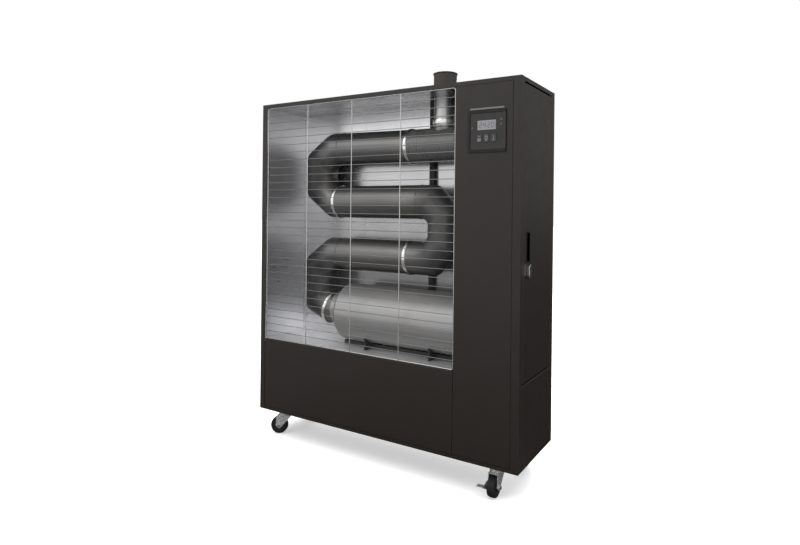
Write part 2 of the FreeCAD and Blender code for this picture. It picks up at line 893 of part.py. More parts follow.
def make_filler_cap():
    """A moulded cap with finger scallops round its skirt."""
    body = doc.addObject("PartDesign::Body", "filler_cap")
    disc = body_sketch(body, "XY_Plane", "cap_disc")
    draw_circle(disc, 0, 0, cap_radius)
    pad(body, disc, "cap_blank", cap_height)
    recess = body_sketch(body, "XY_Plane", "cap_recess")
    draw_circle(recess, 0, 0, neck_radius + slip_gap)
    hollow = pocket(body, recess, "cap_hollow", cap_height / 2)
    hollow.Reversed = True
    scallop = body_sketch(body, "XY_Plane", "cap_scallop")
    draw_circle(scallop, cap_radius + cap_grip_radius / 2, 0, cap_grip_radius)
    notch = pocket(body, scallop, "cap_notch", cap_height)
    notch.Reversed = True
    notches = body.newObject("PartDesign::PolarPattern", "cap_notches")
    notches.Originals = [notch]
    notches.Axis = (scallop, ["N_Axis"])
    notches.Angle = 360
    notches.Occurrences = cap_grips
    body.Tip = notches
    gasket_low = neck_top + slip_gap
    gasket_high = gasket_low + gasket_gauge
    place(body, filler_x, filler_y, gasket_high + running_fit - cap_height / 2)
    node("filler_cap", body)
    washer = cylinder("gasket_outside", "z", filler_x, filler_y, (gasket_low, gasket_high), neck_radius)
    bore = cylinder("gasket_bore", "z", filler_x, filler_y, (gasket_low - cut_past, gasket_high + cut_past),
                    neck_radius - neck_wall * 2)
    node("filler_gasket", cut("filler_gasket", washer, bore))


def make_pump():
    foot = box(
        "pump_foot", (pump_x - pump_base / 2, pump_x + pump_base / 2),
        (pump_y - pump_base / 2, pump_y + pump_base / 2),
        (deck_top, deck_top + pump_foot),
    )
    can = cylinder(
        "pump_can", "z", pump_x, pump_y, (deck_top, deck_top + pump_foot + pump_height), pump_radius,
    )
    port = cylinder("pump_port", "z", pump_x, pump_y, (deck_top - cut_past, deck_top + pump_foot),
                    line_radius + slip_gap)
    node("fuel_pump", cut("fuel_pump", fuse("pump_blank", foot, can), port))


def make_fuel_line():
    """A short riser from the tank to the pump, and a bent pipe from the pump to the burner."""
    riser = cylinder("line_riser", "z", pump_x, pump_y, (tank_top, deck_top + pump_foot), line_radius)
    start_z = deck_top + pump_foot + pump_height
    corner_z = drum_z - line_bend
    up = cylinder("line_up", "z", pump_x, pump_y, (start_z, corner_z), line_radius)
    elbow = doc.addObject("Part::Torus", "line_elbow")
    bind(elbow, "Radius1", line_bend)
    bind(elbow, "Radius2", line_radius)
    elbow.Angle3 = 90
    elbow.Placement = FreeCAD.Placement(V(), FreeCAD.Rotation(V(0, 1, 0), V(0, 0, 1), V(1, 0, 0), "XYZ"))
    place(elbow, pump_x, pump_y - line_bend, corner_z)
    end_y = scroll_back + slip_gap
    across = cylinder("line_across", "y", pump_x, (end_y, pump_y - line_bend), drum_z, line_radius)
    node("fuel_line", group("fuel_line", riser, fuse("burner_pipe", up, elbow, across)))


# Burner
def make_burner():
    duct_start = open_right + burner_flange_gauge
    scroll = cylinder("scroll_outside", "y", burner_x, (scroll_front, scroll_back), drum_z, scroll_radius)
    duct = cylinder("duct_outside", "x", (duct_start, burner_x), drum_y, drum_z, blast_radius)
    pivot = cylinder(
        "shutter_pivot", "y", burner_x,
        (scroll_front - slip_gap - shutter_gauge * 2, scroll_front + scroll_wall),
        drum_z + shutter_pivot_rise, shutter_pivot_radius,
    )
    blank = fuse("burner_blank", scroll, duct, pivot)
    hollow = cylinder(
        "scroll_inside", "y", burner_x, (scroll_front + scroll_wall, scroll_back - scroll_wall), drum_z,
        scroll_radius - scroll_wall,
    )
    bore = cylinder(
        "duct_inside", "x", (duct_start - cut_past, burner_x), drum_y, drum_z, blast_radius - blast_wall,
    )
    inlet = cylinder(
        "air_inlet", "y", burner_x, (scroll_front - cut_past, scroll_front + scroll_wall * 2), drum_z,
        inlet_radius,
    )
    shaft_hole = cylinder(
        "shaft_hole", "y", burner_x, (scroll_back - scroll_wall * 2, scroll_back + cut_past), drum_z,
        shaft_radius + hole_clearance,
    )
    node("burner_housing", cut("burner_housing", blank, hollow, bore, inlet, shaft_hole))

    flange_half = burner_flange / 2
    flange = box("blast_flange", (open_right, duct_start), (drum_y - flange_half, drum_y + flange_half),
                 (drum_z - flange_half, drum_z + flange_half))
    barrel = cylinder(
        "blast_barrel", "x", (open_right - blast_reach, duct_start), drum_y, drum_z, blast_radius,
    )
    barrel_bore = cylinder(
        "blast_bore", "x", (open_right - blast_reach - cut_past, duct_start + cut_past), drum_y, drum_z,
        blast_radius - blast_wall,
    )
    node("blast_tube", cut("blast_tube", fuse("blast_blank", flange, barrel), barrel_bore))

    node("burner_motor", turned("burner_motor", [
        (0, shaft_radius + running_fit),
        (0, motor_radius),
        (motor_length - motor_bell, motor_radius),
        (motor_length, motor_radius - motor_bell),
        (motor_length, 0),
        (shaft_grip, 0),
        (shaft_grip, shaft_radius + running_fit),
    ], "y", burner_x, scroll_back, drum_z))

    top = drum_z + scroll_radius
    node("ignition_transformer", box(
        "ignition_transformer",
        (burner_x - transformer_length / 2, burner_x + transformer_length / 2),
        (drum_y - transformer_width / 2, drum_y + transformer_width / 2),
        (top, top + transformer_height),
    ))


def make_impeller():
    """A squirrel-cage wheel on the motor's shaft, facing the air inlet."""
    body = doc.addObject("PartDesign::Body", "blower_impeller")
    plate = body_sketch(body, "XZ_Plane", "impeller_plate")
    draw_circle(plate, 0, 0, impeller_radius)
    pad(body, plate, "impeller_disc", impeller_plate)
    hub = body_sketch(body, "XZ_Plane", "impeller_hub")
    draw_circle(hub, 0, 0, impeller_hub_radius)
    pad(body, hub, "impeller_boss", impeller_width / 2)
    inner = impeller_radius - blade_depth
    half = blade_gauge / 2
    blade = body_sketch(body, "XZ_Plane", "impeller_blade")
    tip = impeller_radius - half
    draw_lines(blade, [(inner, -half), (tip, -half), (tip, half), (inner, half)], True)
    vane = pad(body, blade, "impeller_vane", impeller_width)
    vanes = body.newObject("PartDesign::PolarPattern", "impeller_vanes")
    vanes.Originals = [vane]
    vanes.Axis = (blade, ["N_Axis"])
    vanes.Angle = 360
    vanes.Occurrences = blade_count
    body.Tip = vanes
    ring = body_sketch(body, "XZ_Plane", "impeller_ring")
    ring.AttachmentOffset = FreeCAD.Placement(V(0, 0, 1), FreeCAD.Rotation())
    bind(ring, "AttachmentOffset.Base.z", impeller_width - impeller_plate)
    draw_circle(ring, 0, 0, impeller_radius)
    draw_circle(ring, 0, 0, inner)
    pad(body, ring, "impeller_shroud", impeller_plate)
    spindle = body_sketch(body, "XZ_Plane", "impeller_spindle")
    draw_circle(spindle, 0, 0, shaft_radius)
    shaft_length = shaft_grip - slip_gap + (scroll_width - impeller_width) / 2
    shaft = pad(body, spindle, "impeller_shaft", shaft_length)
    shaft.Reversed = True
    place(body, burner_x, drum_y + impeller_width / 2, drum_z)
    node("blower_impeller", body)


def make_air_shutter():
    """A hanging flap that swings across the air inlet on a pivot above it."""
    back_face = scroll_front - slip_gap
    ys = (back_face - shutter_gauge, back_face)
    pivot_z = drum_z + shutter_pivot_rise
    flap = cylinder("shutter_flap", "y", burner_x, ys, drum_z, shutter_radius)
    ear = cylinder("shutter_ear", "y", burner_x, ys, pivot_z, shutter_pivot_radius * 2.5)
    arm = box("shutter_arm", (burner_x - shutter_pivot_radius * 2, burner_x + shutter_pivot_radius * 2), ys,
              (drum_z, pivot_z))
    hole = cylinder("shutter_hole", "y", burner_x, (ys[0] - cut_past, ys[1] + cut_past), pivot_z,
                    shutter_pivot_radius + running_fit)
    node("air_shutter", cut("air_shutter", fuse("shutter_blank", flap, ear, arm), hole))


# Control panel
control_right = right - control_inset
control_left = control_right - control_width
control_high = roof - control_drop
control_low = control_high - control_tall
control_x = control_right - control_width / 2
bezel_front = front - bezel_proud
face_front = bezel_front + face_depth
face_back = face_front + bezel_face
board_front = face_back + board_setback
button_z = control_high - button_drop - button_tall / 2
screen_z = control_high - screen_drop - screen_tall / 2
lamp_spots = [
    (control_x + lamp_offset, screen_z + screen_tall / 2),
    (control_x + lamp_offset, screen_z),
    (control_x - lamp_offset, screen_z - screen_tall / 4),
]


def face_hole(label, x, z, half_x, half_z):
    through = (face_front - cut_past, face_back + cut_past)
    return box(label, (x - half_x, x + half_x), through, (z - half_z, z + half_z))


def make_control_box():
    """A bezel proud of the column, with a shallow face and a case behind it."""
    plate = box(
        "bezel_plate", (control_left, control_right), (bezel_front, front), (control_low, control_high),
    )
    rear = front + control_depth
    case = box(
        "case_blank", (control_left + bezel_lip, control_right - bezel_lip), (bezel_front, rear),
        (control_low + bezel_lip, control_high - bezel_lip),
    )
    shallow = box(
        "face_recess", (control_left + bezel_border, control_right - bezel_border),
        (bezel_front - cut_past, face_front), (control_low + bezel_border, control_high - bezel_border),
    )
    hollow = box(
        "case_hollow", (control_left + bezel_lip + control_wall, control_right - bezel_lip - control_wall),
        (face_back, rear + cut_past),
        (control_low + bezel_lip + control_wall, control_high - bezel_lip - control_wall),
    )
    holes = [face_hole(
        "screen_hole", control_x, screen_z, screen_width / 2 + slip_gap, screen_tall / 2 + slip_gap,
    )]
    for i in range(3):
        holes.append(face_hole(
            "button_hole", control_x + button_pitch * (i - 1), button_z,
            button_width / 2 + slip_gap, button_tall / 2 + slip_gap,
        ))
    for x, z in lamp_spots:
        holes.append(cylinder("lamp_hole", "y", x, (face_front - cut_past, face_back + cut_past), z,
                              lamp_radius + slip_gap))
    node("control_box", cut("control_box", fuse("control_blank", plate, case), shallow, hollow, *holes))


def make_display():
    """The clear screen window and the three lamp lenses, each with a lip behind the face."""
    pane = box(
        "screen_pane", (control_x - screen_width / 2, control_x + screen_width / 2), (face_front, face_back),
        (screen_z - screen_tall / 2, screen_z + screen_tall / 2),
    )
    lip = box(
        "screen_lip", (control_x - screen_width / 2 - lens_lip, control_x + screen_width / 2 + lens_lip),
        (face_back, face_back + lens_gauge),
        (screen_z - screen_tall / 2 - lens_lip, screen_z + screen_tall / 2 + lens_lip),
    )
    pieces = [fuse("screen", pane, lip)]
    for x, z in lamp_spots:
        lens = cylinder("lamp_lens", "y", x, (face_front - lens_gauge / 4, face_back), z, lamp_radius)
        foot = cylinder("lamp_foot", "y", x, (face_back, face_back + lens_gauge), z, lamp_radius + lens_lip)
        pieces.append(fuse("lamp", lens, foot))
    node("display_window", group("display_window", *pieces))


def make_board():
    inset = bezel_lip + control_wall + slip_gap
    node("control_board", box(
        "control_board", (control_left + inset, control_right - inset),
        (board_front, board_front + board_gauge), (control_low + inset, control_high - inset),
    ))


def make_buttons():
    for i in range(3):
        x = control_x + button_pitch * (i - 1)
        cap = box(
            "button_cap", (x - button_width / 2, x + button_width / 2),
            (face_front - button_proud, face_back), (button_z - button_tall / 2, button_z + button_tall / 2),
        )
        lip = box(
            "button_lip", (x - button_width / 2 - button_lip, x + button_width / 2 + button_lip),
            (face_back, face_back + button_lip),
            (button_z - button_tall / 2 - button_lip, button_z + button_tall / 2 + button_lip),
        )
        node(f"button_{i + 1}", fuse(f"button_{i + 1}", cap, lip))


def make_power_inlet():
    x = right - inlet_inset
    z = bottom + inlet_height
    flange = box("inlet_flange", (x - inlet_width / 2, x + inlet_width / 2), (back, back + inlet_flange),
                 (z - inlet_tall / 2, z + inlet_tall / 2))
    shell = box(
        "inlet_shell", (x - inlet_body_width / 2, x + inlet_body_width / 2), (back - inlet_depth, back),
        (z - inlet_body_tall / 2, z + inlet_body_tall / 2),
    )
    well = box(
        "inlet_well", (x - inlet_body_width / 2 + inlet_flange, x + inlet_body_width / 2 - inlet_flange),
        (back - inlet_depth + inlet_flange, back + inlet_flange + cut_past),
        (z - inlet_body_tall / 2 + inlet_flange, z + inlet_body_tall / 2 - inlet_flange),
    )
    pins = []
    for offset in (-1, 0, 1):
        pin_x = x + offset * inlet_body_width / 4
        pins.append(box(
            "inlet_pin", (pin_x - inlet_flange / 3, pin_x + inlet_flange / 3),
            (back - inlet_depth + inlet_flange / 2, back - inlet_flange),
            (z - inlet_flange, z + inlet_flange),
        ))
    socket = cut("inlet_socket", fuse("inlet_blank", flange, shell), well)
    node("power_inlet", fuse("power_inlet", socket, *pins))


# Service door
door_front = side_front + door_seam
door_back = side_back - hinge_gap
door_low = bottom + side_seam_height + door_end_gap
door_high = panel_high - door_end_gap
hinge_x = right - hinge_depth
hinge_y = door_back - hinge_inset
knob_y = front + latch_setback
knob_z = bottom + knob_height
pull_low = knob_z + knob_tall / 2 + pull_rim
pull_high = pull_low + pull_tall


def make_door():
    leaf = tray(
        "door_sheet", (right - door_fold, right), (door_front, door_back), (door_low, door_high), gauge, "-x",
    )
    pivots = cylinder("door_pivot_holes", "z", hinge_x, hinge_y, (door_low - cut_past, door_high + cut_past),
                      pivot_radius + running_fit)
    spindle = cylinder("door_spindle_hole", "x", (right - door_fold, right + cut_past), knob_y, knob_z,
                       spindle_radius + running_fit)
    cup_hole = box(
        "door_pull_hole", (right - door_fold, right + cut_past),
        (knob_y - pull_width / 2 + pull_rim - slip_gap, knob_y + pull_width / 2 - pull_rim + slip_gap),
        (pull_low + pull_rim - slip_gap, pull_high - pull_rim + slip_gap),
    )
    node("service_door", cut("service_door", leaf, pivots, spindle, cup_hole))


def make_door_pull():
    rim = box("pull_rim", (right, right + pull_rim_proud), (knob_y - pull_width / 2, knob_y + pull_width / 2),
              (pull_low, pull_high))
    cup = box(
        "pull_cup", (right - pull_depth, right),
        (knob_y - pull_width / 2 + pull_rim, knob_y + pull_width / 2 - pull_rim),
        (pull_low + pull_rim, pull_high - pull_rim),
    )
    well = box(
        "pull_well", (right - pull_depth + gauge, right + pull_rim_proud + cut_past),
        (knob_y - pull_width / 2 + pull_rim + gauge, knob_y + pull_width / 2 - pull_rim - gauge),
        (pull_low + pull_rim + gauge, pull_high - pull_rim - gauge),
    )
    node("door_pull", cut("door_pull", fuse("pull_blank", rim, cup), well))


def make_latch():
    """A quarter-turn knob whose cam swings behind the front corner post."""
    straight = (knob_tall - knob_wide) / 2
    ends = []
    knob_start = right + slip_gap
    for side in (-1, 1):
        ends.append(cylinder(
            "knob_end", "x", (knob_start, knob_start + knob_proud), knob_y, knob_z + straight * side,
            knob_wide / 2,
        ))
    middle = box(
        "knob_middle", (knob_start, knob_start + knob_proud),
        (knob_y - knob_wide / 2, knob_y + knob_wide / 2), (knob_z - straight, knob_z + straight),
    )
    cam_back = right - fold - cam_clearance
    spindle = cylinder(
        "knob_spindle", "x", (cam_back - cam_gauge, knob_start), knob_y, knob_z, spindle_radius,
    )
    node("latch_knob", fuse("latch_knob", *ends, middle, spindle))
    cam = box("cam_blade", (cam_back - cam_gauge, cam_back), (knob_y - cam_width / 2, knob_y + cam_width / 2),
              (knob_z - cam_length, knob_z))
    eye = cylinder("cam_eye", "x", (cam_back - cam_gauge, cam_back), knob_y, knob_z, cam_width / 2)
    hole = cylinder("cam_hole", "x", (cam_back - cam_gauge - cut_past, cam_back + cut_past), knob_y, knob_z,
                    spindle_radius)
    node("latch_cam", cut("latch_cam", fuse("cam_blank", cam, eye), hole))


def make_hinge_brackets():
    """Two ears on the rear post, each with a pivot pin that enters the end of the door."""
    ears = []
    middle_gap = (door_end_gap - bracket_gauge) / 2
    low_ear = (door_low - middle_gap - bracket_gauge, door_low - middle_gap)
    high_ear = (door_high + middle_gap, door_high + middle_gap + bracket_gauge)
    low_pin = (low_ear[0], door_low + pivot_length)
    high_pin = (door_high - pivot_length, high_ear[1])
    for ear_z, pin_z in ((low_ear, low_pin), (high_ear, high_pin)):
        ear = box("hinge_ear", (right - fold, right - gauge), (hinge_y - bracket_reach, side_back), ear_z)
        pin = cylinder("hinge_pin", "z", hinge_x, hinge_y, pin_z, pivot_radius)
        ears.append(fuse("hinge_bracket", ear, pin))
    node("hinge_brackets", group("hinge_brackets", *ears))


# Casters
axle_z = wheel_radius
crown_low = wheel_radius * 2 + crown_clearance
crown_high = crown_low + fork_gauge
plate_low = bottom - caster_plate_gauge
fork_inner = wheel_width / 2 + wheel_side_gap
fork_outer = fork_inner + fork_gauge
caster_spots = {
    "front_left": (-1, -1, 205),
    "front_right": (1, -1, -90),
    "rear_left": (-1, 1, 160),
    "rear_right": (1, 1, 90),
}
braked = ("front_right", "rear_right")


def swivel_spot(name):
    """The swivel axis of a caster, and the way its wheel trails in degrees."""
    side_x, side_y, heading = caster_spots[name]
    return (right - caster_inset) * side_x, (back - caster_setback) * side_y, heading


def turn_to(body, x, y, heading):
    body.Placement = FreeCAD.Placement(V(), FreeCAD.Rotation(V(0, 0, 1), heading))
    bind(body, "Placement.Base.x", x)
    bind(body, "Placement.Base.y", y)


def make_caster_plates():
    plates = []
    half = caster_plate_side / 2
    race_low = crown_high + slip_gap
    for name in caster_spots:
        x, y, _ = swivel_spot(name)
        plate = box("caster_plate", (x - half, x + half), (y - half, y + half), (plate_low, bottom))
        race = cylinder("caster_race", "z", x, y, (race_low, plate_low), race_radius)
        pin = cylinder("caster_kingpin", "z", x, y, (crown_low - kingpin_nut, race_low), kingpin_radius)
        nut = cylinder(
            "caster_nut", "z", x, y, (crown_low - kingpin_nut - running_fit, crown_low - running_fit),
            kingpin_nut_radius,
        )
        plates.append(fuse("caster_top", plate, race, pin, nut))
    node("caster_plates", group("caster_plates", *plates))


def make_fork(name):
    """A pressed fork: a crown over the wheel and two legs down to the axle."""
    x, y, heading = swivel_spot(name)
    label = f"caster_fork_{name}"
    body = doc.addObject("PartDesign::Body", label + "_pressing")
    side = body_sketch(body, "XZ_Plane", label + "_side")
    draw_lines(side, [
        (-crown_half, crown_low - fork_gauge),
        (trail - leg_foot, axle_z - leg_foot / 2),
        (trail, axle_z - leg_foot),
        (trail + leg_foot, axle_z),
        (crown_half + leg_foot / 2, crown_low),
        (crown_half, crown_high),
        (-crown_half, crown_high),
    ], True)
    pad(body, side, label + "_blank", fork_outer * 2, "Symmetric")
    gap = body_sketch(body, "XZ_Plane", label + "_gap")
    far = crown_half * 3
    draw_lines(gap, [(-far, 0), (far, 0), (far, crown_low), (-far, crown_low)], True)
    pocket(body, gap, label + "_slot", fork_inner * 2, "Symmetric")
    holes = body_sketch(body, "XZ_Plane", label + "_axle_holes")
    draw_circle(holes, trail, axle_z, axle_radius + running_fit)
    pocket(body, holes, label + "_axle_bore", fork_outer * 3, "Symmetric")
    eye = body_sketch(body, "XY_Plane", label + "_kingpin_hole")
    draw_circle(eye, 0, 0, kingpin_radius + running_fit)
    bore = pocket(body, eye, label + "_kingpin_bore", crown_high + cut_past)
    bore.Reversed = True
    turn_to(body, x, y, heading)

    axle = turned(label + "_axle", [
        (-fork_outer - axle_head, 0),
        (-fork_outer - axle_head, axle_head_radius),
        (-fork_outer, axle_head_radius),
        (-fork_outer, axle_radius),
        (fork_outer, axle_radius),
        (fork_outer, axle_head_radius),
        (fork_outer + axle_head, axle_head_radius),
        (fork_outer + axle_head, 0),
    ], "y", 0, 0, axle_z)
    swing_about_kingpin(axle, x, y, heading)
    node(label, group(label, body, axle))


def swing_about_kingpin(body, x, y, heading):
    """Puts a body that is turned about the axle at the trailing end of its caster."""
    angle = math.radians(heading)
    spin = FreeCAD.Rotation(V(0, 0, 1), heading).multiply(FreeCAD.Rotation(V(0, 0, 1), 90))
    body.Placement = FreeCAD.Placement(V(), spin)
    place(body, x + trail * math.cos(angle), y + trail * math.sin(angle), axle_z)


def make_wheel(name):
    x, y, heading = swivel_spot(name)
    half = wheel_width / 2
    bore = axle_radius + running_fit
    rim = wheel_radius - tread_bevel
    wheel = turned(f"caster_wheel_{name}", [
        (-half, bore),
        (-half, axle_head_radius),
        (-half + hub_recess, axle_head_radius),
        (-half + hub_recess, hub_radius),
        (-half, hub_radius),
        (-half, rim),
        (-half + tread_bevel, wheel_radius),
        (half - tread_bevel, wheel_radius),
        (half, rim),
        (half, hub_radius),
        (half - hub_recess, hub_radius),
        (half - hub_recess, axle_head_radius),
        (half, axle_head_radius),
        (half, bore),
    ], "y", 0, 0, axle_z)
    swing_about_kingpin(wheel, x, y, heading)
    node(f"caster_wheel_{name}", wheel)


def make_brake(name):
    """A side lever that turns on the axle's head and ends in a foot tab."""
    x, y, heading = swivel_spot(name)
    label = f"brake_lever_{name}"
    body = doc.addObject("PartDesign::Body", label)
    side = body_sketch(body, "XZ_Plane", label + "_arm")
    outer_half = brake_arm / 2
    draw_lines(side, [
        (-outer_half, -outer_half),
        (outer_half, -outer_half),
        (brake_reach, brake_rise - brake_gauge / 2),
        (brake_reach, brake_rise + brake_gauge / 2),
        (brake_reach - brake_tab_length, brake_rise + brake_gauge / 2),
        (outer_half, outer_half + brake_gauge),
        (-outer_half, outer_half + brake_gauge),
    ], True)
    inner_face = fork_outer + axle_head - brake_gauge
    side.AttachmentOffset = FreeCAD.Placement(V(0, 0, 1), FreeCAD.Rotation())
    bind(side, "AttachmentOffset.Base.z", inner_face)
    pad(body, side, label + "_plate", brake_gauge)
    tab = body_sketch(body, "XZ_Plane", label + "_tab")
    tab.AttachmentOffset = FreeCAD.Placement(V(0, 0, 1), FreeCAD.Rotation())
    bind(tab, "AttachmentOffset.Base.z", inner_face)
    draw_lines(tab, [
        (brake_reach - brake_tab_length, brake_rise - brake_gauge / 2),
        (brake_reach, brake_rise - brake_gauge / 2),
        (brake_reach, brake_rise + brake_gauge / 2),
        (brake_reach - brake_tab_length, brake_rise + brake_gauge / 2),
    ], True)
    pad(body, tab, label + "_step", brake_tab)
    eye = body_sketch(body, "XZ_Plane", label + "_eye")
    draw_circle(eye, 0, 0, axle_head_radius + running_fit)
    pocket(body, eye, label + "_bore", fork_outer * 4, "Symmetric")
    angle = math.radians(heading)
    turn_to(body, x + trail * math.cos(angle), y + trail * math.sin(angle), heading)
    bind(body, "Placement.Base.z", axle_z)
    node(label, body)


# Fasteners
def make_screws():
    """Screws down both upright edges of the back."""
    screws = []
    for x in (left_screw_x, right_screw_x):
        for z in screw_heights():
            head = cylinder("screw_head", "y", x, (back, back + screw_head), z, screw_head_radius)
            stem = cylinder("screw_stem", "y", x, (back - screw_length, back), z, screw_radius)
            screws.append(fuse("screw", head, stem))
    node("panel_screws", group("panel_screws", *screws))


make_base_pan()
make_top_cover()
make_left_side_panel()
make_back_panel()
make_front_panels()
make_corner_post("front_corner_post", front, side_front, 1, [])
make_corner_post("rear_corner_post", back, side_back, -1, screw_holes(right_screw_x))
make_lower_side_panel()
make_partition()
make_tank_deck()
make_reflectors()
make_guard()
make_drum()
make_tubes()
make_flue()
make_rings()
make_supports()
make_tank()
make_filler_cap()
make_pump()
make_fuel_line()
make_burner()
make_impeller()
make_air_shutter()
make_control_box()
make_display()
make_board()
make_buttons()
make_power_inlet()
make_door()
make_door_pull()
make_latch()
make_hinge_brackets()
make_caster_plates()
for spot in caster_spots:
    make_fork(spot)
    make_wheel(spot)
for spot in braked:
    make_brake(spot)
make_screws()

doc.recompute()

failed = [thing.Label for thing in doc.Objects if "Invalid" in thing.State or "Error" in thing.State]
for thing in nodes:
    if thing.Shape.isNull() or not thing.Shape.isValid():
        failed.append(thing.Label)
if failed:
    raise RuntimeError("these sub-parts did not build: " + ", ".join(failed))

os.makedirs("parts", exist_ok=True)
for thing in nodes:
    thing.Shape.exportStep(f"parts/{thing.Label}.step")
    print(thing.Label, len(thing.Shape.Solids), round(thing.Shape.Volume))
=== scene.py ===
import bpy
import itertools
import json
import math
from mathutils import Euler, Matrix, Vector


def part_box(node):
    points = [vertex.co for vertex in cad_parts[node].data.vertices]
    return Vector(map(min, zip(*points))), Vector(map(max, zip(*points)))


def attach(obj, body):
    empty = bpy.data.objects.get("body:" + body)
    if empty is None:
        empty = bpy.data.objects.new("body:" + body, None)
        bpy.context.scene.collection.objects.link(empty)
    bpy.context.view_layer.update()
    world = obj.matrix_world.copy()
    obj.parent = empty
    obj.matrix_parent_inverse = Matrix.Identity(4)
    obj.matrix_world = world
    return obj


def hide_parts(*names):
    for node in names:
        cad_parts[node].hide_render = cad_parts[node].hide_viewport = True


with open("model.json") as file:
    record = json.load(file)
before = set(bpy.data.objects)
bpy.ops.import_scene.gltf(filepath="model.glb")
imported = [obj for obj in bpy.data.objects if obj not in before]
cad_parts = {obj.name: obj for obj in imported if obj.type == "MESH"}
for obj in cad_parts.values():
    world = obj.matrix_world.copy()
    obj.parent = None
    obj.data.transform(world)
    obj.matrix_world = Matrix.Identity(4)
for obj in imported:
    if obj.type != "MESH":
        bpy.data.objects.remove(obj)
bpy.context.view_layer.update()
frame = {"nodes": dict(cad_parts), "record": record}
nodes = frame["nodes"]
print("frame loaded,", len(nodes), "nodes")

left, right, front, back = (-1, 0, 0), (1, 0, 0), (0, -1, 0), (0, 1, 0)
up, down, origin = (0, 0, 1), (0, 0, -1), (0, 0, 0)
spigotLow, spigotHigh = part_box("flue_spigot")
flueCentre = (spigotLow + spigotHigh) / 2
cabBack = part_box("back_panel")[1].y
cutSpare = 0.01  # how far a cutter stands out past what it cuts


# hand tools

def objectMode():
    bpy.ops.object.mode_set(mode="OBJECT")


def editMode():
    bpy.ops.object.mode_set(mode="EDIT")


def pickAll():
    bpy.ops.mesh.select_all(action="SELECT")


def clearSelection():
    if bpy.context.mode != "OBJECT":
        objectMode()
    bpy.ops.object.select_all(action="DESELECT")


def takeUp(piece):
    clearSelection()
    piece.select_set(True)
    bpy.context.view_layer.objects.active = piece


def discard(piece):
    bpy.data.objects.remove(piece)


def settle(piece):
    takeUp(piece)
    bpy.ops.object.transform_apply(location=True, rotation=True, scale=True)
    return piece


def addBlock(name, low, high):
    clearSelection()
    bpy.ops.mesh.primitive_cube_add(size=1, location=[(a + b) / 2 for a, b in zip(low, high)])
    block = bpy.context.object
    block.name = name
    block.scale = [b - a for a, b in zip(low, high)]
    return settle(block)


def addSlab(name, low, high, depth):
    # low and high are (x, z) corners as seen from the front, and depth goes from y to y
    return addBlock(name, (low[0], depth[0], low[1]), (high[0], depth[1], high[1]))


def addPlate(name, middle, half, depth):
    low = [a - b for a, b in zip(middle, half)]
    high = [a + b for a, b in zip(middle, half)]
    return addSlab(name, low, high, depth)


def addRod(name, start, end, radius, sides=24):
    clearSelection()
    run = Vector(end) - Vector(start)
    bpy.ops.mesh.primitive_cylinder_add(vertices=sides, radius=radius, depth=run.length)
    rod = bpy.context.object
    rod.name = name
    rod.rotation_euler = run.to_track_quat("Z", "Y").to_euler()
    rod.location = (Vector(start) + Vector(end)) / 2
    return settle(rod)


def addRing(place, radius, thickness, sides, turn=0):
    clearSelection()
    bpy.ops.mesh.primitive_torus_add(major_segments=96, minor_segments=sides, major_radius=radius,
                                     minor_radius=thickness)
    ring = bpy.context.object
    ring.rotation_euler = (0, turn, 0)
    ring.location = place
    return settle(ring)


def startPick(piece, kind):
    takeUp(piece)
    editMode()
    bpy.ops.mesh.select_mode(type=kind)
    bpy.ops.mesh.select_all(action="DESELECT")
    objectMode()


def pickEdges(piece, wanted):
    startPick(piece, "EDGE")
    points = piece.data.vertices
    for edge in piece.data.edges:
        edge.select = wanted(*[points[index].co for index in edge.vertices])
    editMode()


def pickPoints(piece, wanted):
    startPick(piece, "VERT")
    for point in piece.data.vertices:
        point.select = wanted(point.co)
    editMode()


def shiftPoints(piece, wanted, step):
    pickPoints(piece, wanted)
    bpy.ops.transform.translate(value=step)
    objectMode()


def squeezePoints(piece, wanted, factors):
    pickPoints(piece, wanted)
    bpy.ops.transform.resize(value=factors)
    objectMode()


def dropFaces(piece, *ways):
    # takes off the faces that look one of these ways, and leaves edit mode on
    startPick(piece, "FACE")
    for face in piece.data.polygons:
        face.select = any(face.normal.dot(Vector(way)) > 0.9 for way in ways)
    editMode()
    bpy.ops.mesh.delete(type="FACE")


def useModifier(piece, kind, **settings):
    takeUp(piece)
    modifier = piece.modifiers.new(kind, kind)
    for label, value in settings.items():
        setattr(modifier, label, value)
    bpy.ops.object.modifier_apply(modifier=modifier.name)
    return piece


def roundEdges(piece, width, steps=2, angle=30):
    return useModifier(piece, "BEVEL", width=width, segments=steps, limit_method="ANGLE",
                       angle_limit=math.radians(angle), miter_outer="MITER_ARC")


def cutAway(piece, *cutters):
    for cutter in cutters:
        useModifier(piece, "BOOLEAN", operation="DIFFERENCE", solver="EXACT", object=cutter)
        discard(cutter)


def evenShade(piece, angle=40):
    takeUp(piece)
    bpy.ops.object.shade_smooth_by_angle(angle=math.radians(angle))
    return useModifier(piece, "WEIGHTED_NORMAL", keep_sharp=True)


def repeatAlong(piece, count, step):
    return useModifier(piece, "ARRAY", count=count, use_relative_offset=False, use_constant_offset=True,
                       constant_offset_displace=step)


def joinUp(name, parts):
    takeUp(parts[0])
    for part in parts:
        part.select_set(True)
    if len(parts) > 1:
        bpy.ops.object.join()
    whole = bpy.context.object
    whole.name = name
    return whole


def movedCopy(piece, name, offset, turn=origin, stretch=(1, 1, 1)):
    takeUp(piece)
    bpy.ops.object.duplicate()
    twin = bpy.context.object
    twin.name = name
    twin.scale = stretch
    twin.rotation_euler = turn
    twin.location = offset
    return settle(twin)


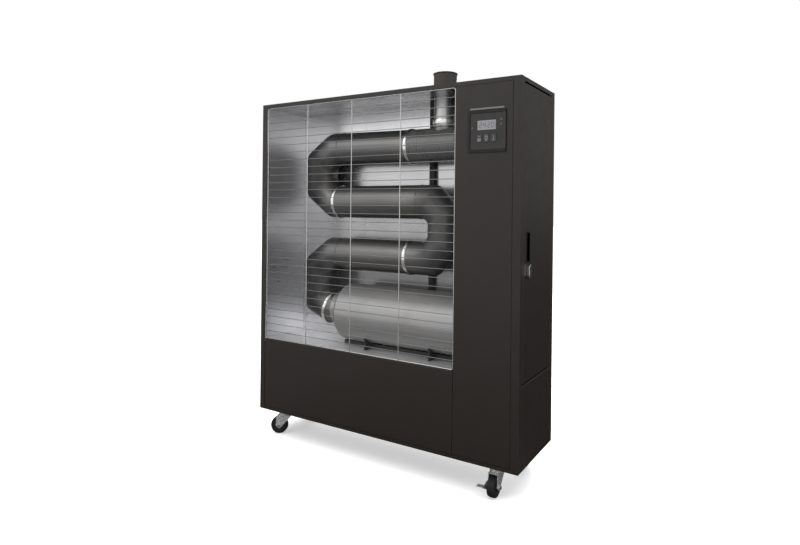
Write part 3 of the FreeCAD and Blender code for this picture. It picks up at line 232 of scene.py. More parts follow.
def drawLine(name, points):
    # a chain of edges drawn from point to point, left open in edit mode
    clearSelection()
    bpy.ops.mesh.primitive_plane_add(size=0.01, location=origin)
    line = bpy.context.object
    line.name = name
    editMode()
    bpy.ops.mesh.select_mode(type="VERT")
    pickAll()
    bpy.ops.mesh.merge(type="CENTER")
    here = Vector(origin)
    for index, point in enumerate(points):
        step = Vector(point) - here
        if index == 0:
            bpy.ops.transform.translate(value=step)
        else:
            bpy.ops.mesh.extrude_region_move(TRANSFORM_OT_translate={"value": step})
        here = Vector(point)
    pickAll()
    return line


def bentRod(name, points, radius, corner):
    # a rod along straight runs, bent round at the corners
    drawLine(name, points)
    bpy.ops.mesh.remove_doubles(threshold=1e-5)
    bpy.ops.mesh.bevel(offset=corner, segments=4, affect="VERTICES")
    objectMode()
    bpy.ops.object.convert(target="CURVE")
    rod = bpy.context.object
    rod.data.bevel_depth = radius
    rod.data.bevel_resolution = 2
    rod.data.use_fill_caps = True
    bpy.ops.object.convert(target="MESH")
    return settle(bpy.context.object)


def lathe(name, outline, axis, steps, centre=origin):
    # outline is (along, radius) pairs, turned about the axis through the centre
    turned = drawLine(name, [(radius, 0, along) for along, radius in outline])
    bpy.ops.mesh.spin(steps=steps, angle=math.tau, center=origin, axis=up)
    pickAll()
    bpy.ops.mesh.remove_doubles(threshold=1e-6)
    bpy.ops.mesh.normals_make_consistent(inside=False)
    objectMode()
    turned.rotation_euler = Vector(axis).to_track_quat("Z", "Y").to_euler()
    turned.location = centre
    return settle(turned)


def mirrored(outline, *crown):
    # the outline, what lies in its middle, and the outline again on the far side, closed up
    return [*outline, *crown, *[(-along, radius) for along, radius in reversed(outline)], outline[0]]


def hexHead(name, start, end, radius):
    # a bolt head or nut with its corners turned down
    return roundEdges(addRod(name, start, end, radius, 6), radius * 0.12, 2, 50)


def softBlock(name, low, high, width):
    return roundEdges(addBlock(name, low, high), width)


def markWornAndSheenEdges(piece):
    # folded corners get a 1 where paint thins out and a painted highlight runs along the fold, flats stay 0
    wornAndSheen = piece.data.attributes.new("wornAndSheen", "FLOAT", "CORNER")
    for face in piece.data.polygons:
        flatness = max(abs(part) for part in face.normal)
        for corner in face.loop_indices:
            wornAndSheen.data[corner].value = min(1, max(0, (0.99 - flatness) / 0.1))


def mount(piece, body, finishName, slotName, *stoodFor):
    piece.data.materials.clear()
    piece.data.materials.append(finishes[finishName])
    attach(piece, body)
    if stoodFor:
        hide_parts(*stoodFor)


def softCopy(nodeName, width, steps=2):
    # the CAD shape with its sharp edges broken
    source = nodes[nodeName]
    piece = source.copy()
    piece.data = source.data.copy()
    for key in list(piece.keys()):
        del piece[key]
    piece.parent = None
    piece.name = nodeName + "Shape"
    bpy.context.scene.collection.objects.link(piece)
    takeUp(piece)
    bpy.ops.mesh.customdata_custom_splitnormals_clear()
    editMode()
    pickAll()
    bpy.ops.mesh.remove_doubles(threshold=1e-6)
    bpy.ops.mesh.dissolve_limited(angle_limit=math.radians(1))
    objectMode()
    return evenShade(roundEdges(piece, width, steps))


def softenNode(nodeName, body, finishName, slotName, width, steps=2):
    mount(softCopy(nodeName, width, steps), body, finishName, slotName, nodeName)


# shader wiring

def feed(tree, socket, term):
    # a socket is linked, a colour gets its alpha, and a number is set as it is
    if isinstance(term, bpy.types.NodeSocket):
        tree.links.new(term, socket)
    elif socket.type == "RGBA":
        socket.default_value = (*term, 1)
    else:
        socket.default_value = term


def feedAll(tree, node, terms):
    for label, term in terms.items():
        feed(tree, node.inputs[label.replace("_", " ")], term)
    return node


def addNode(tree, kind, **terms):
    return feedAll(tree, tree.nodes.new("ShaderNode" + kind), terms)


def whereOn(tree, kind="Object"):
    return addNode(tree, "TexCoord").outputs[kind]


def splitAxes(tree, vector):
    return addNode(tree, "SeparateXYZ", Vector=vector).outputs


def addFade(tree, source, span, start, end, bend="SMOOTHSTEP"):
    # a change from start to end over a span of the source
    fade = addNode(tree, "MapRange", Value=source, From_Min=span[0], From_Max=span[1],
                   To_Min=start, To_Max=end)
    fade.interpolation_type = bend
    return fade.outputs["Result"]


def addRange(tree, noise, low, high):
    # nearly all of a noise lies in the middle of its scale
    return addFade(tree, noise, (0.3, 0.7), low, high, "LINEAR")


def addNoise(tree, scale, detail, vector=None):
    if vector is None:
        vector = whereOn(tree)
    return addNode(tree, "TexNoise", Scale=scale, Detail=detail, Vector=vector).outputs["Fac"]


def addMath(tree, operation, first, second):
    sums = addNode(tree, "Math")
    sums.operation = operation
    feed(tree, sums.inputs[0], first)
    feed(tree, sums.inputs[1], second)
    return sums.outputs[0]


def addMix(tree, blend, factor, first, second):
    mix = addNode(tree, "Mix")
    mix.data_type = "RGBA"
    mix.blend_type = blend
    for index, term in ((0, factor), (6, first), (7, second)):
        feed(tree, mix.inputs[index], term)
    return mix.outputs[2]


def tinted(tree, colour, shade):
    return addMix(tree, "MULTIPLY", 1.0, colour, shade)


def mottled(tree, colour, noise, amount):
    low = addMath(tree, "SUBTRACT", 1, amount)
    high = addMath(tree, "ADD", 1, amount)
    return tinted(tree, colour, addRange(tree, noise, low, high))


def splitByLens(tree, unseen, seen, ending):
    # the lens sees one shader, and the heater is lit by the other
    mix = addNode(tree, "MixShader", Fac=addNode(tree, "LightPath").outputs["Is Camera Ray"])
    tree.links.new(unseen.outputs[0], mix.inputs[1])
    tree.links.new(seen.outputs[0], mix.inputs[2])
    addNode(tree, ending, Surface=mix.outputs[0])


# camera, floor and light

photoView = {
    "place": (1.1176, -1.7452, 0.8677),
    "yaw": 0.5522,
    "roll": 0.0106,
    "sensor": 36,
    "lens": 25.75,
    "shift": (-0.0095, -0.0787),
}


def setCamera():
    clearSelection()
    bpy.ops.object.camera_add(location=photoView["place"])
    camera = bpy.context.object
    camera.name = "photoCamera"
    level = Euler((math.pi / 2, 0, photoView["yaw"])).to_matrix()
    camera.rotation_euler = (level @ Matrix.Rotation(photoView["roll"], 3, "Z")).to_euler()
    camera.data.sensor_width = photoView["sensor"]
    camera.data.lens = photoView["lens"]
    camera.data.shift_x, camera.data.shift_y = photoView["shift"]
    bpy.context.scene.camera = camera


studio = {
    "floorSide": 60,
    "aim": (0.1, 0, 0.75),
    "softboxes": [
        ("frontBox", (-1.6, -2.6, 2.9), 2.0, 18),
        ("backBox", (-0.8, 3.2, 2.4), 2.2, 110),
        ("sideBox", (3.0, 0.3, 1.5), 1.8, 13),
    ],
    "footBox": ("footBox", (0.9, -1.3, 0.95), (-0.46, 0, 0.34), 0.3, 0.11),
    "footSpread": 22,
    "footLit": ("reflector_left", "reflector_floor", "reflector_back"),
    "overhead": 2.2, "overheadSpread": 80,
    "backdrop": (1, 1, 1),
    "roomLeft": 1.3, "roomRight": 1.1, "roomBack": 0.45, "roomTop": 0.75,
    "roomAcross": (-0.4, 0.7), "roomAlong": (-0.65, 0.1), "roomUp": (0.15, 0.7),
    "floorSeen": 0.95, "floorLift": 0.42,
    "bounceFar": 0.7, "bounceNear": 0.16, "bounceBack": 0.03,
    "bounceAhead": (-4.5, -1.4), "bounceUnder": (-0.4, 0.4),
}


def addSoftbox(name, place, target, side, power):
    clearSelection()
    bpy.ops.object.light_add(type="AREA", location=place)
    lamp = bpy.context.object
    lamp.name = name
    lamp.data.shape = "SQUARE"
    lamp.data.size = side
    lamp.data.energy = power
    aim = Vector(target) - Vector(place)
    lamp.rotation_euler = aim.to_track_quat("-Z", "Y").to_euler()
    return lamp


def lightOnly(lamp, pieces):
    lit = bpy.data.collections.new("litBy" + lamp.name)
    for piece in pieces:
        lit.objects.link(piece)
    lamp.light_linking.receiver_collection = lit


def setStudio():
    clearSelection()
    bpy.ops.mesh.primitive_plane_add(size=studio["floorSide"])
    floor = bpy.context.object
    floor.name = "paleFloor"
    floor.data.materials.append(paleFloorPaint())
    for name, place, side, power in studio["softboxes"]:
        addSoftbox(name, place, studio["aim"], side, power)
    footBox = addSoftbox(*studio["footBox"])
    footBox.data.spread = math.radians(studio["footSpread"])
    footBox.data.use_shadow = False
    lightOnly(footBox, [nodes[name] for name in studio["footLit"]])  # only lifts the foot of the reflector
    clearSelection()
    bpy.ops.object.light_add(type="SUN")
    overhead = bpy.context.object
    overhead.name = "overheadPanel"
    overhead.data.energy = studio["overhead"]
    overhead.data.angle = math.radians(studio["overheadSpread"])
    lightOnly(overhead, [floor])  # only whitens the floor


def paleFloorPaint():
    # paper white to the lens, to the heater a bounce card that darkens from far in front to behind it
    paint = bpy.data.materials.new("paleFloorPaint")
    paint.use_nodes = True
    tree = paint.node_tree
    tree.nodes.clear()
    along = splitAxes(tree, whereOn(tree))["Y"]
    ahead = addFade(tree, along, studio["bounceAhead"], studio["bounceFar"], studio["bounceNear"])
    bounce = addFade(tree, along, studio["bounceUnder"], ahead, studio["bounceBack"])
    card = addNode(tree, "BsdfDiffuse", Color=bounce)
    paper = addNode(tree, "BsdfDiffuse", Color=[studio["floorSeen"]] * 3)
    lift = addNode(tree, "Emission", Strength=studio["floorLift"])
    lifted = addNode(tree, "AddShader")
    tree.links.new(paper.outputs[0], lifted.inputs[0])
    tree.links.new(lift.outputs[0], lifted.inputs[1])
    splitByLens(tree, card, lifted, "OutputMaterial")
    return paint


def setWorld():
    # the lens sees plain white, the metal sees a room lit from the front left
    world = bpy.data.worlds.new("studioRoom")
    bpy.context.scene.world = world
    world.use_nodes = True
    tree = world.node_tree
    tree.nodes.clear()
    axes = splitAxes(tree, whereOn(tree, "Generated"))
    ahead = addFade(tree, axes["X"], studio["roomAcross"], studio["roomLeft"], studio["roomRight"])
    walls = addFade(tree, axes["Y"], studio["roomAlong"], ahead, studio["roomBack"])
    room = addFade(tree, axes["Z"], studio["roomUp"], walls, studio["roomTop"])
    seen = addNode(tree, "Background", Color=studio["backdrop"])
    lit = addNode(tree, "Background", Strength=room)
    splitByLens(tree, lit, seen, "OutputWorld")
    bpy.context.scene.view_settings.view_transform = "Standard"


setCamera()
setStudio()
setWorld()
print("camera and studio set")


# shared surface effects

surface = ("Colour", "Roughness", "Height")


def newGroup(name, inputs, outputs=surface):
    # a colour starts from three numbers, a value from one and a vector from none
    group = bpy.data.node_groups.new(name, "ShaderNodeTree")
    for label, start in inputs.items():
        kind = "Vector" if start is None else "Color" if isinstance(start, tuple) else "Float"
        socket = group.interface.new_socket(label, in_out="INPUT", socket_type="NodeSocket" + kind)
        if start is not None:
            socket.default_value = (*start, 1) if kind == "Color" else start
    for label in outputs:
        kind = "Color" if label == "Colour" else "Float"
        group.interface.new_socket(label, in_out="OUTPUT", socket_type="NodeSocket" + kind)
    return group, group.nodes.new("NodeGroupInput").outputs, group.nodes.new("NodeGroupOutput")


def makePowderGrain():
    group, given, made = newGroup("powderGrain", {
        "Colour": (0.01, 0.01, 0.01), "Peel Size": 700, "Mottle": 0.12, "Smooth": 0.35, "Coarse": 0.5,
        "Dust": 0.1})
    body = mottled(group, given["Colour"], addNoise(group, 6, 4), given["Mottle"])
    # dust settles on what faces up
    upward = addFade(group, splitAxes(group, whereOn(group, "Normal"))["Z"], (0.5, 1), 0, 1, "LINEAR")
    patch = addRange(group, addNoise(group, 38, 6), 0.35, 1)
    dust = addMath(group, "MULTIPLY", addMath(group, "MULTIPLY", upward, patch), given["Dust"])
    sheen = addRange(group, addNoise(group, 24, 5), given["Smooth"], given["Coarse"])
    feedAll(group, made, {
        "Colour": addMix(group, "MIX", dust, body, (0.3, 0.285, 0.265)),
        "Roughness": addMath(group, "ADD", sheen, dust),
        "Height": addNoise(group, given["Peel Size"], 2)})
    return group


def makeEdgeRub():
    group, given, made = newGroup("edgeWearAndSheen", {
        "Colour": (0.01, 0.01, 0.01), "Thin Paint": (0.1, 0.1, 0.1), "Amount": 0.4}, ("Colour",))
    # folds take the lighter paint: thin worn paint, and a painted highlight along the edges
    wornAndSheen = addNode(group, "Attribute")
    wornAndSheen.attribute_name = "wornAndSheen"
    broken = addRange(group, addNoise(group, 22, 5), 0.25, 1)
    wearSheenPatch = addMath(group, "MULTIPLY", wornAndSheen.outputs["Fac"], broken)
    mask = addMath(group, "MULTIPLY", wearSheenPatch, given["Amount"])
    feedAll(group, made, {"Colour": addMix(group, "MIX", mask, given["Colour"], given["Thin Paint"])})
    return group


def makeRolledSteel():
    group, given, made = newGroup("rolledSteel", {
        "Vector": None, "Colour": (0.6, 0.6, 0.6), "Streaks": 0.1, "Smooth": 0.15, "Coarse": 0.3})
    grain = addNoise(group, 1, 7, given["Vector"])
    wiped = addMath(group, "MULTIPLY", addMath(group, "ADD", addNoise(group, 9, 4), grain), 0.5)
    feedAll(group, made, {
        "Colour": mottled(group, given["Colour"], grain, given["Streaks"]),
        "Roughness": addRange(group, wiped, given["Smooth"], given["Coarse"]),
        "Height": grain})
    return group


def makeHeatBloom():
    group, given, made = newGroup("heatBloom", {"Colour": (0.5, 0.5, 0.5), "Amount": 0.3}, ("Colour",))
    tint = addNode(group, "ValToRGB", Fac=addNoise(group, 5.5, 5))
    ramp = tint.color_ramp
    ramp.elements[0].position = 0.36
    ramp.elements[0].color = (0.72, 0.72, 0.74, 1)
    ramp.elements[1].position = 0.66
    ramp.elements[1].color = (0.60, 0.58, 0.62, 1)
    straw = ramp.elements.new(0.5)
    straw.color = (0.80, 0.74, 0.64, 1)
    feedAll(group, made, {
        "Colour": addMix(group, "MULTIPLY", given["Amount"], given["Colour"], tint.outputs["Color"])})
    return group


def makeZincSpangle():
    group, given, made = newGroup("zincSpangle", {
        "Colour": (0.6, 0.6, 0.6), "Flake Size": 90, "Smooth": 0.25, "Coarse": 0.45})
    flake = addNode(group, "TexVoronoi", Vector=whereOn(group), Scale=given["Flake Size"])
    split = addNode(group, "SeparateColor", Color=flake.outputs["Color"])
    feedAll(group, made, {
        "Colour": tinted(group, given["Colour"], addRange(group, split.outputs[0], 0.86, 1.08)),
        "Roughness": addRange(group, split.outputs[1], given["Smooth"], given["Coarse"]),
        "Height": addNoise(group, 60, 5)})
    return group


def makeMouldGrain():
    group, given, made = newGroup("mouldGrain", {
        "Colour": (0.03, 0.03, 0.03), "Grain Size": 1400, "Smooth": 0.4, "Coarse": 0.6})
    cloud = addNoise(group, 30, 4)
    feedAll(group, made, {
        "Colour": tinted(group, given["Colour"], addRange(group, cloud, 0.85, 1.15)),
        "Roughness": addRange(group, cloud, given["Smooth"], given["Coarse"]),
        "Height": addNoise(group, given["Grain Size"], 3)})
    return group


effects = {
    "powderGrain": makePowderGrain(),
    "edgeWearAndSheen": makeEdgeRub(),
    "rolledSteel": makeRolledSteel(),
    "heatBloom": makeHeatBloom(),
    "zincSpangle": makeZincSpangle(),
    "mouldGrain": makeMouldGrain(),
}
print("surface effects made")


# finishes

finishes = {}


def newFinish(name, **sockets):
    finishes[name] = bpy.data.materials.new(name)
    finishes[name].use_nodes = True
    tree = finishes[name].node_tree
    return tree, feedAll(tree, tree.nodes["Principled BSDF"], sockets)


def placeEffect(tree, kind, **values):
    effect = addNode(tree, "Group")
    effect.node_tree = effects[kind]
    return feedAll(tree, effect, values).outputs


def coat(tree, shader, colour, roughness, height, bump, distance):
    raised = addNode(tree, "Bump", Strength=bump, Distance=distance, Height=height)
    feedAll(tree, shader, {"Base Color": colour, "Roughness": roughness, "Normal": raised.outputs["Normal"]})


def painted(name, colour, wornSheenPaint=None, wearSheenAmount=0.4, specular=0.25, peelSize=700, mottle=0.12,
            smooth=0.35, coarse=0.5, dust=0.05, bump=0.12):
    tree, shader = newFinish(name, Specular_IOR_Level=specular)
    powder = placeEffect(tree, "powderGrain", Colour=colour, Peel_Size=peelSize, Mottle=mottle, Smooth=smooth,
                         Coarse=coarse, Dust=dust)
    shown = powder["Colour"]
    # the folds are lightened: worn paint that also serves as a painted edge highlight
    if wornSheenPaint:
        shown = placeEffect(tree, "edgeWearAndSheen", Colour=shown, Thin_Paint=wornSheenPaint, Amount=wearSheenAmount)["Colour"]
    coat(tree, shader, shown, powder["Roughness"], powder["Height"], bump, distance=0.0004)


def bareSteel(name, colour, grain, streaks, smooth, coarse, bloom=0.0, bump=0.05, paintedShading=(), wave=0.0,
              metallic=1.0):
    # grain stretches the streaks: a small number runs long
    # each painted shading entry is (axis, from, to, shade before, shade after): painted shade and painted
    # light faded in along one axis
    tree, shader = newFinish(name, Metallic=metallic)
    stretched = addNode(tree, "Mapping", Vector=whereOn(tree), Scale=grain)
    steel = placeEffect(tree, "rolledSteel", Vector=stretched.outputs["Vector"], Colour=colour,
                        Streaks=streaks, Smooth=smooth, Coarse=coarse)
    shown = steel["Colour"]
    if bloom:
        shown = placeEffect(tree, "heatBloom", Colour=shown, Amount=bloom)["Colour"]
    if paintedShading:
        axes = splitAxes(tree, whereOn(tree))
        stray = addRange(tree, addNoise(tree, 30, 4), -0.012, 0.012)
        metalShare = metallic
        for axis, start, end, before, after in paintedShading:
            shadeFactor = addFade(tree, addMath(tree, "ADD", axes[axis], stray), (start, end), before, after)
            shown = tinted(tree, shown, shadeFactor)
            metalShare = addMath(tree, "MULTIPLY", shadeFactor, metalShare)
        tree.links.new(metalShare, shader.inputs["Metallic"])  # metallic follows the same painted shade and light
    height = steel["Height"]
    if wave:
        # thin sheet never lies quite flat
        height = addMath(tree, "ADD", addMath(tree, "MULTIPLY", addNoise(tree, 5, 1), wave), height)
    coat(tree, shader, shown, steel["Roughness"], height, bump, distance=0.0002)


def zincPlated(name, colour, flakeSize, smooth, coarse, metallic=1.0):
    tree, shader = newFinish(name, Metallic=metallic)
    zinc = placeEffect(tree, "zincSpangle", Colour=colour, Flake_Size=flakeSize, Smooth=smooth, Coarse=coarse)
    coat(tree, shader, zinc["Colour"], zinc["Roughness"], zinc["Height"], bump=0.06, distance=0.0003)


def moulded(name, colour, grainSize, smooth, coarse, specular=0.4, bump=0.15):
    tree, shader = newFinish(name, Specular_IOR_Level=specular)
    skin = placeEffect(tree, "mouldGrain", Colour=colour, Grain_Size=grainSize, Smooth=smooth, Coarse=coarse)
    coat(tree, shader, skin["Colour"], skin["Roughness"], skin["Height"], bump, distance=0.0002)


def litScreen(name, dot, ground, glow):
    # a pale backlit screen with a fine dot grid
    tree, shader = newFinish(name, Roughness=0.3, Emission_Strength=glow)
    dots = addNode(tree, "TexChecker", Vector=whereOn(tree), Scale=2400, Color1=dot, Color2=ground)
    patchy = tinted(tree, dots.outputs["Color"], addRange(tree, addNoise(tree, 18, 2), 0.9, 1.1))
    feedAll(tree, shader, {"Base Color": patchy, "Emission Color": patchy})


# the second colour lightens the folds: worn paint and a painted edge highlight
painted("cabinetPaint", (0.0215, 0.0163, 0.0128), (0.06, 0.054, 0.05), specular=0.42, mottle=0.04,
        smooth=0.42, coarse=0.48, dust=0.03, bump=0.06)
painted("flueBlack", (0.075, 0.068, 0.065), smooth=0.45, coarse=0.6, peelSize=900)
painted("darkIron", (0.05, 0.048, 0.047), smooth=0.5, coarse=0.7, peelSize=500, dust=0.02)
painted("tankPaint", (0.06, 0.062, 0.066), coarse=0.55)
painted("motorPaint", (0.09, 0.098, 0.108))
# the four reflector sheets are one steel in lighter and darker copies: the back is painted darker behind the
# drum and lower tube and lighter at its foot and top, the ceiling darker towards the back, the left wall and
# the floor lighter; painted shade and painted light
bareSteel("polishedSheet", (0.63, 0.63, 0.64), (3, 3, 160), 0.05, 0.18, 0.28, wave=4, metallic=0.88,
          paintedShading=[("Z", 0.55, 0.98, 0.5, 1), ("Z", 0.38, 0.52, 2, 1), ("Z", 1.06, 1.16, 1, 1.25)])
bareSteel("ceilingSheet", (0.37, 0.37, 0.38), (3, 160, 3), 0.05, 0.22, 0.32, wave=4, metallic=0.85,
          paintedShading=[("Y", -0.06, 0.12, 1, 0.5)])
bareSteel("wallSheet", (0.95, 0.95, 0.97), (3, 3, 160), 0.04, 0.26, 0.36, wave=4, metallic=0.75)
bareSteel("floorSheet", (0.96, 0.96, 0.97), (3, 160, 3), 0.08, 0.3, 0.42, metallic=0.5)
bareSteel("dullSheet", (0.34, 0.34, 0.34), (3, 3, 160), 0.1, 0.3, 0.45, metallic=0.7)
# the tubes are painted darker past the right-hand bands and far darker at the left bends: painted shade
bareSteel("tubeSteel", (0.215, 0.213, 0.213), (6, 220, 220), 0.08, 0.28, 0.4, bloom=0.3, metallic=0.82,
          paintedShading=[("X", 0.06, 0.15, 1, 0.5), ("X", -0.34, -0.27, 0.14, 1)])
# the flue tee's run below the riser is painted darker: painted shade
bareSteel("teeSteel", (0.56, 0.56, 0.56), (220, 220, 6), 0.08, 0.24, 0.36, bloom=0.2,
          paintedShading=[("Z", 1.13, 1.165, 0.3, 1)])
bareSteel("drumSteel", (0.46, 0.457, 0.457), (6, 220, 220), 0.07, 0.36, 0.48, bloom=0.2, metallic=0.62)
bareSteel("brightRing", (0.9, 0.9, 0.89), (120, 120, 120), 0.05, 0.14, 0.26)
# the level wires are a darker copy of the plated steel and the stays and frame a lighter one: painted shade
# and painted light
bareSteel("guardWire", (0.3, 0.3, 0.3), (60, 300, 300), 0.06, 0.26, 0.4)
bareSteel("guardStay", (0.68, 0.68, 0.68), (300, 300, 60), 0.06, 0.2, 0.34)
bareSteel("weldSteel", (0.3, 0.29, 0.28), (300, 300, 300), 0.25, 0.35, 0.55, bloom=0.6)
bareSteel("brightKnob", (0.88, 0.88, 0.88), (200, 200, 200), 0.03, 0.05, 0.14)
bareSteel("copperPipe", (0.72, 0.4, 0.25), (160, 160, 160), 0.12, 0.25, 0.4, bloom=0.3)
bareSteel("castMetal", (0.52, 0.53, 0.54), (420, 420, 420), 0.12, 0.38, 0.55, bump=0.2)
bareSteel("brassPin", (0.78, 0.62, 0.36), (200, 200, 200), 0.06, 0.2, 0.32)
zincPlated("casterZinc", (0.85, 0.85, 0.86), 260, 0.22, 0.4, 0.6)
zincPlated("galvanised", (0.62, 0.63, 0.64), 170, 0.34, 0.5, 0.55)
zincPlated("screwZinc", (0.6, 0.6, 0.6), 500, 0.25, 0.4)
moulded("wheelRubber", (0.018, 0.0175, 0.017), 600, 0.5, 0.7, 0.35)
moulded("wheelHub", (0.05, 0.05, 0.052), 900, 0.4, 0.55)
moulded("blackPlastic", (0.012, 0.0115, 0.0115), 1500, 0.4, 0.55, 0.3)
moulded("facePlastic", (0.042, 0.039, 0.038), 1800, 0.35, 0.45, 0.3)
# pale plastic for the painted highlight along the bezel's top
moulded("highlightPlastic", (0.22, 0.218, 0.216), 1800, 0.3, 0.42)
moulded("keyPlastic", (0.06, 0.059, 0.06), 1800, 0.35, 0.5)
moulded("keyMark", (0.22, 0.22, 0.23), 1800, 0.4, 0.55)
moulded("screenInk", (0.08, 0.08, 0.085), 1800, 0.4, 0.5)
moulded("sealRubber", (0.02, 0.02, 0.02), 500, 0.6, 0.8)
moulded("boardGreen", (0.02, 0.11, 0.045), 700, 0.3, 0.45)
moulded("lampLens", (0.15, 0.15, 0.15), 600, 0.15, 0.25, 0.5)
moulded("componentBlack", (0.02, 0.02, 0.022), 1200, 0.3, 0.45)
moulded("ceramic", (0.62, 0.6, 0.55), 900, 0.18, 0.3, 0.5)
litScreen("screenGlow", (0.36, 0.36, 0.38), (0.32, 0.32, 0.34), 0.1)
print(len(finishes), "finishes mixed")


# cabinet shell

shell = {
    "bend": 0.0022, "steps": 4, "gauge": 0.0012, "postLip": 0.011,
    "lidHole": 0.0392, "lidHoleFrom": 1.2, "lidHoleTo": 1.3, "windowInset": 0.0057,
    "windowDepth": (-0.2, -0.1),
    "plainPanels": [
        ("leftSide", "left_side_panel", (right, up, down)),
        ("lowerFront", "lower_front_panel", (back,)),
        ("lowerSide", "lower_side_panel", (left,)),
    ],
    "bearers": [
        ((-0.295, -0.14, 0.0962), (-0.265, 0.14, 0.117)),
        ((0.265, -0.14, 0.0962), (0.295, 0.14, 0.117)),
    ],
}


def foldedPanel(name, nodeName, *openWays, top=None):
    low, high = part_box(nodeName)
    panel = addBlock(name, low, (high.x, high.y, top or high.z))
    dropFaces(panel, *openWays)
    bpy.ops.mesh.select_mode(type="EDGE")
    bpy.ops.mesh.select_all(action="DESELECT")
    bpy.ops.mesh.select_non_manifold()
    bpy.ops.mesh.select_all(action="INVERT")
    bpy.ops.mesh.bevel(offset=shell["bend"], segments=shell["steps"])
    objectMode()
    return panel


def thicken(panel):
    return useModifier(panel, "SOLIDIFY", thickness=shell["gauge"], offset=-1, use_even_offset=True)


def dressPanel(panel, body, nodeName):
    markWornAndSheenEdges(panel)
    mount(evenShade(panel), body, "cabinetPaint", "cabinet_paint", nodeName)


def makeShell():
    lid = thicken(foldedPanel("roofLid", "top_cover", down))
    cutAway(lid, addRod("lidHole", (flueCentre.x, flueCentre.y, shell["lidHoleFrom"]),
                        (flueCentre.x, flueCentre.y, shell["lidHoleTo"]), shell["lidHole"], 48))
    dressPanel(lid, "cabinet", "top_cover")

    for name, nodeName, openWays in shell["plainPanels"]:
        dressPanel(thicken(foldedPanel(name, nodeName, *openWays)), "cabinet", nodeName)

    column = thicken(foldedPanel("controlColumn", "control_column_panel", back))
    boxLow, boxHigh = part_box("control_box")
    inset = shell["windowInset"]
    cutAway(column, addSlab("columnWindow", (boxLow.x + inset, boxLow.z + inset),
                            (boxHigh.x - inset, boxHigh.z - inset), shell["windowDepth"]))
    dressPanel(column, "cabinet", "control_column_panel")

    for name, nodeName in (("frontPost", "front_corner_post"), ("rearPost", "rear_corner_post")):
        low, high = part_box(nodeName)
        lipY = high.y if name == "frontPost" else low.y
        post = foldedPanel(name, nodeName, left, up, down)
        shiftPoints(post, lambda point: max(abs(point.y - lipY), abs(point.x - low.x)) < 1e-5,
                    (shell["postLip"], 0, 0))
        dressPanel(thicken(post), "cabinet", nodeName)

    # the pan's own rim is lower than the bearers that its box takes in
    pan = thicken(foldedPanel("basePan", "base_pan", up, top=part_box("lower_front_panel")[0].z))
    bearers = [addBlock("bearer", low, high) for low, high in shell["bearers"]]
    dressPanel(joinUp("basePan", [pan] + bearers), "cabinet", "base_pan")


makeShell()
print("cabinet shell folded")


# service door, its pull and its latch

door = {
    "knobY": -0.091, "knobZ": 0.686, "spindleRadius": 0.0061,
    "slotDeep": 0.0015, "slotHalf": 0.0008, "slotReach": 0.005,
    "cupHalf": 0.0128, "cupLow": 0.7142, "cupHigh": 0.8028, "cupFloor": 0.5122,
    "pivot": (0.519, 0.115), "pivotRadius": 0.0031,
    "ribs": 8, "ribHeight": 0.0008, "ribWide": 0.008, "ribTall": 0.001,
}


def makeDoor():
    low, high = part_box("service_door")
    y, z = door["knobY"], door["knobZ"]
    inside, outside = low.x - cutSpare, high.x + cutSpare
    cupHalf, cupLow, cupHigh = door["cupHalf"], door["cupLow"], door["cupHigh"]
    leaf = thicken(foldedPanel("doorLeaf", "service_door", left))
    cutAway(leaf,
            addBlock("cupHole", (inside, y - cupHalf, cupLow), (outside, y + cupHalf, cupHigh)),
            addRod("spindleHole", (inside, y, z), (outside, y, z), door["spindleRadius"], 32),
            addRod("pivotHole", (*door["pivot"], low.z - cutSpare), (*door["pivot"], high.z + cutSpare),
                   door["pivotRadius"], 20))
    dressPanel(leaf, "door", "service_door")

    pull = softCopy("door_pull", width=0.0008)
    step = (cupHigh - cupLow) / (door["ribs"] + 1)
    floor, wide, tall = door["cupFloor"], door["ribWide"], door["ribTall"]
    ribs = softBlock("pullRibs", (floor, y - wide, cupLow + step - tall),
                     (floor + door["ribHeight"], y + wide, cupLow + step + tall), width=0.0003)
    repeatAlong(ribs, door["ribs"], (0, 0, step))
    mount(joinUp("pullCup", [pull, ribs]), "door", "blackPlastic", "black_plastic", "door_pull")

    knob = softCopy("latch_knob", width=0.003, steps=4)
    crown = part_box("latch_knob")[1].x
    half, reach = door["slotHalf"], door["slotReach"]
    cutAway(knob, addBlock("keySlot", (crown - door["slotDeep"], y - half, z - reach),
                           (crown + cutSpare, y + half, z + reach)))
    mount(evenShade(knob), "latch", "brightKnob", "bright_knob", "latch_knob")
    softenNode("latch_cam", "latch", "galvanised", "galvanised_sheet", width=0.0006)


makeDoor()
print("service door hung")


# back panel with its pressed air hoods

backSheet = {
    "slots": 14, "slot": (0.413, 0.527), "slotHalf": (0.075, 0.003), "slotStep": 0.018,
    "hoodProud": 0.0034, "hoodUp": 0.0065, "hoodDown": 0.002, "hoodWider": 0.002, "hoodTopProud": 0.0002,
    "hoodGauge": 0.0008,
    "inlet": (0.440, 0.425), "inletHalf": (0.0153, 0.0123),
    "pins": 3, "pinPitch": 0.0075, "pinHalf": (0.0011, 0.0031), "pinDepth": (0.140, 0.1523),
    "screwRows": 5, "screwRadius": 0.004,
}


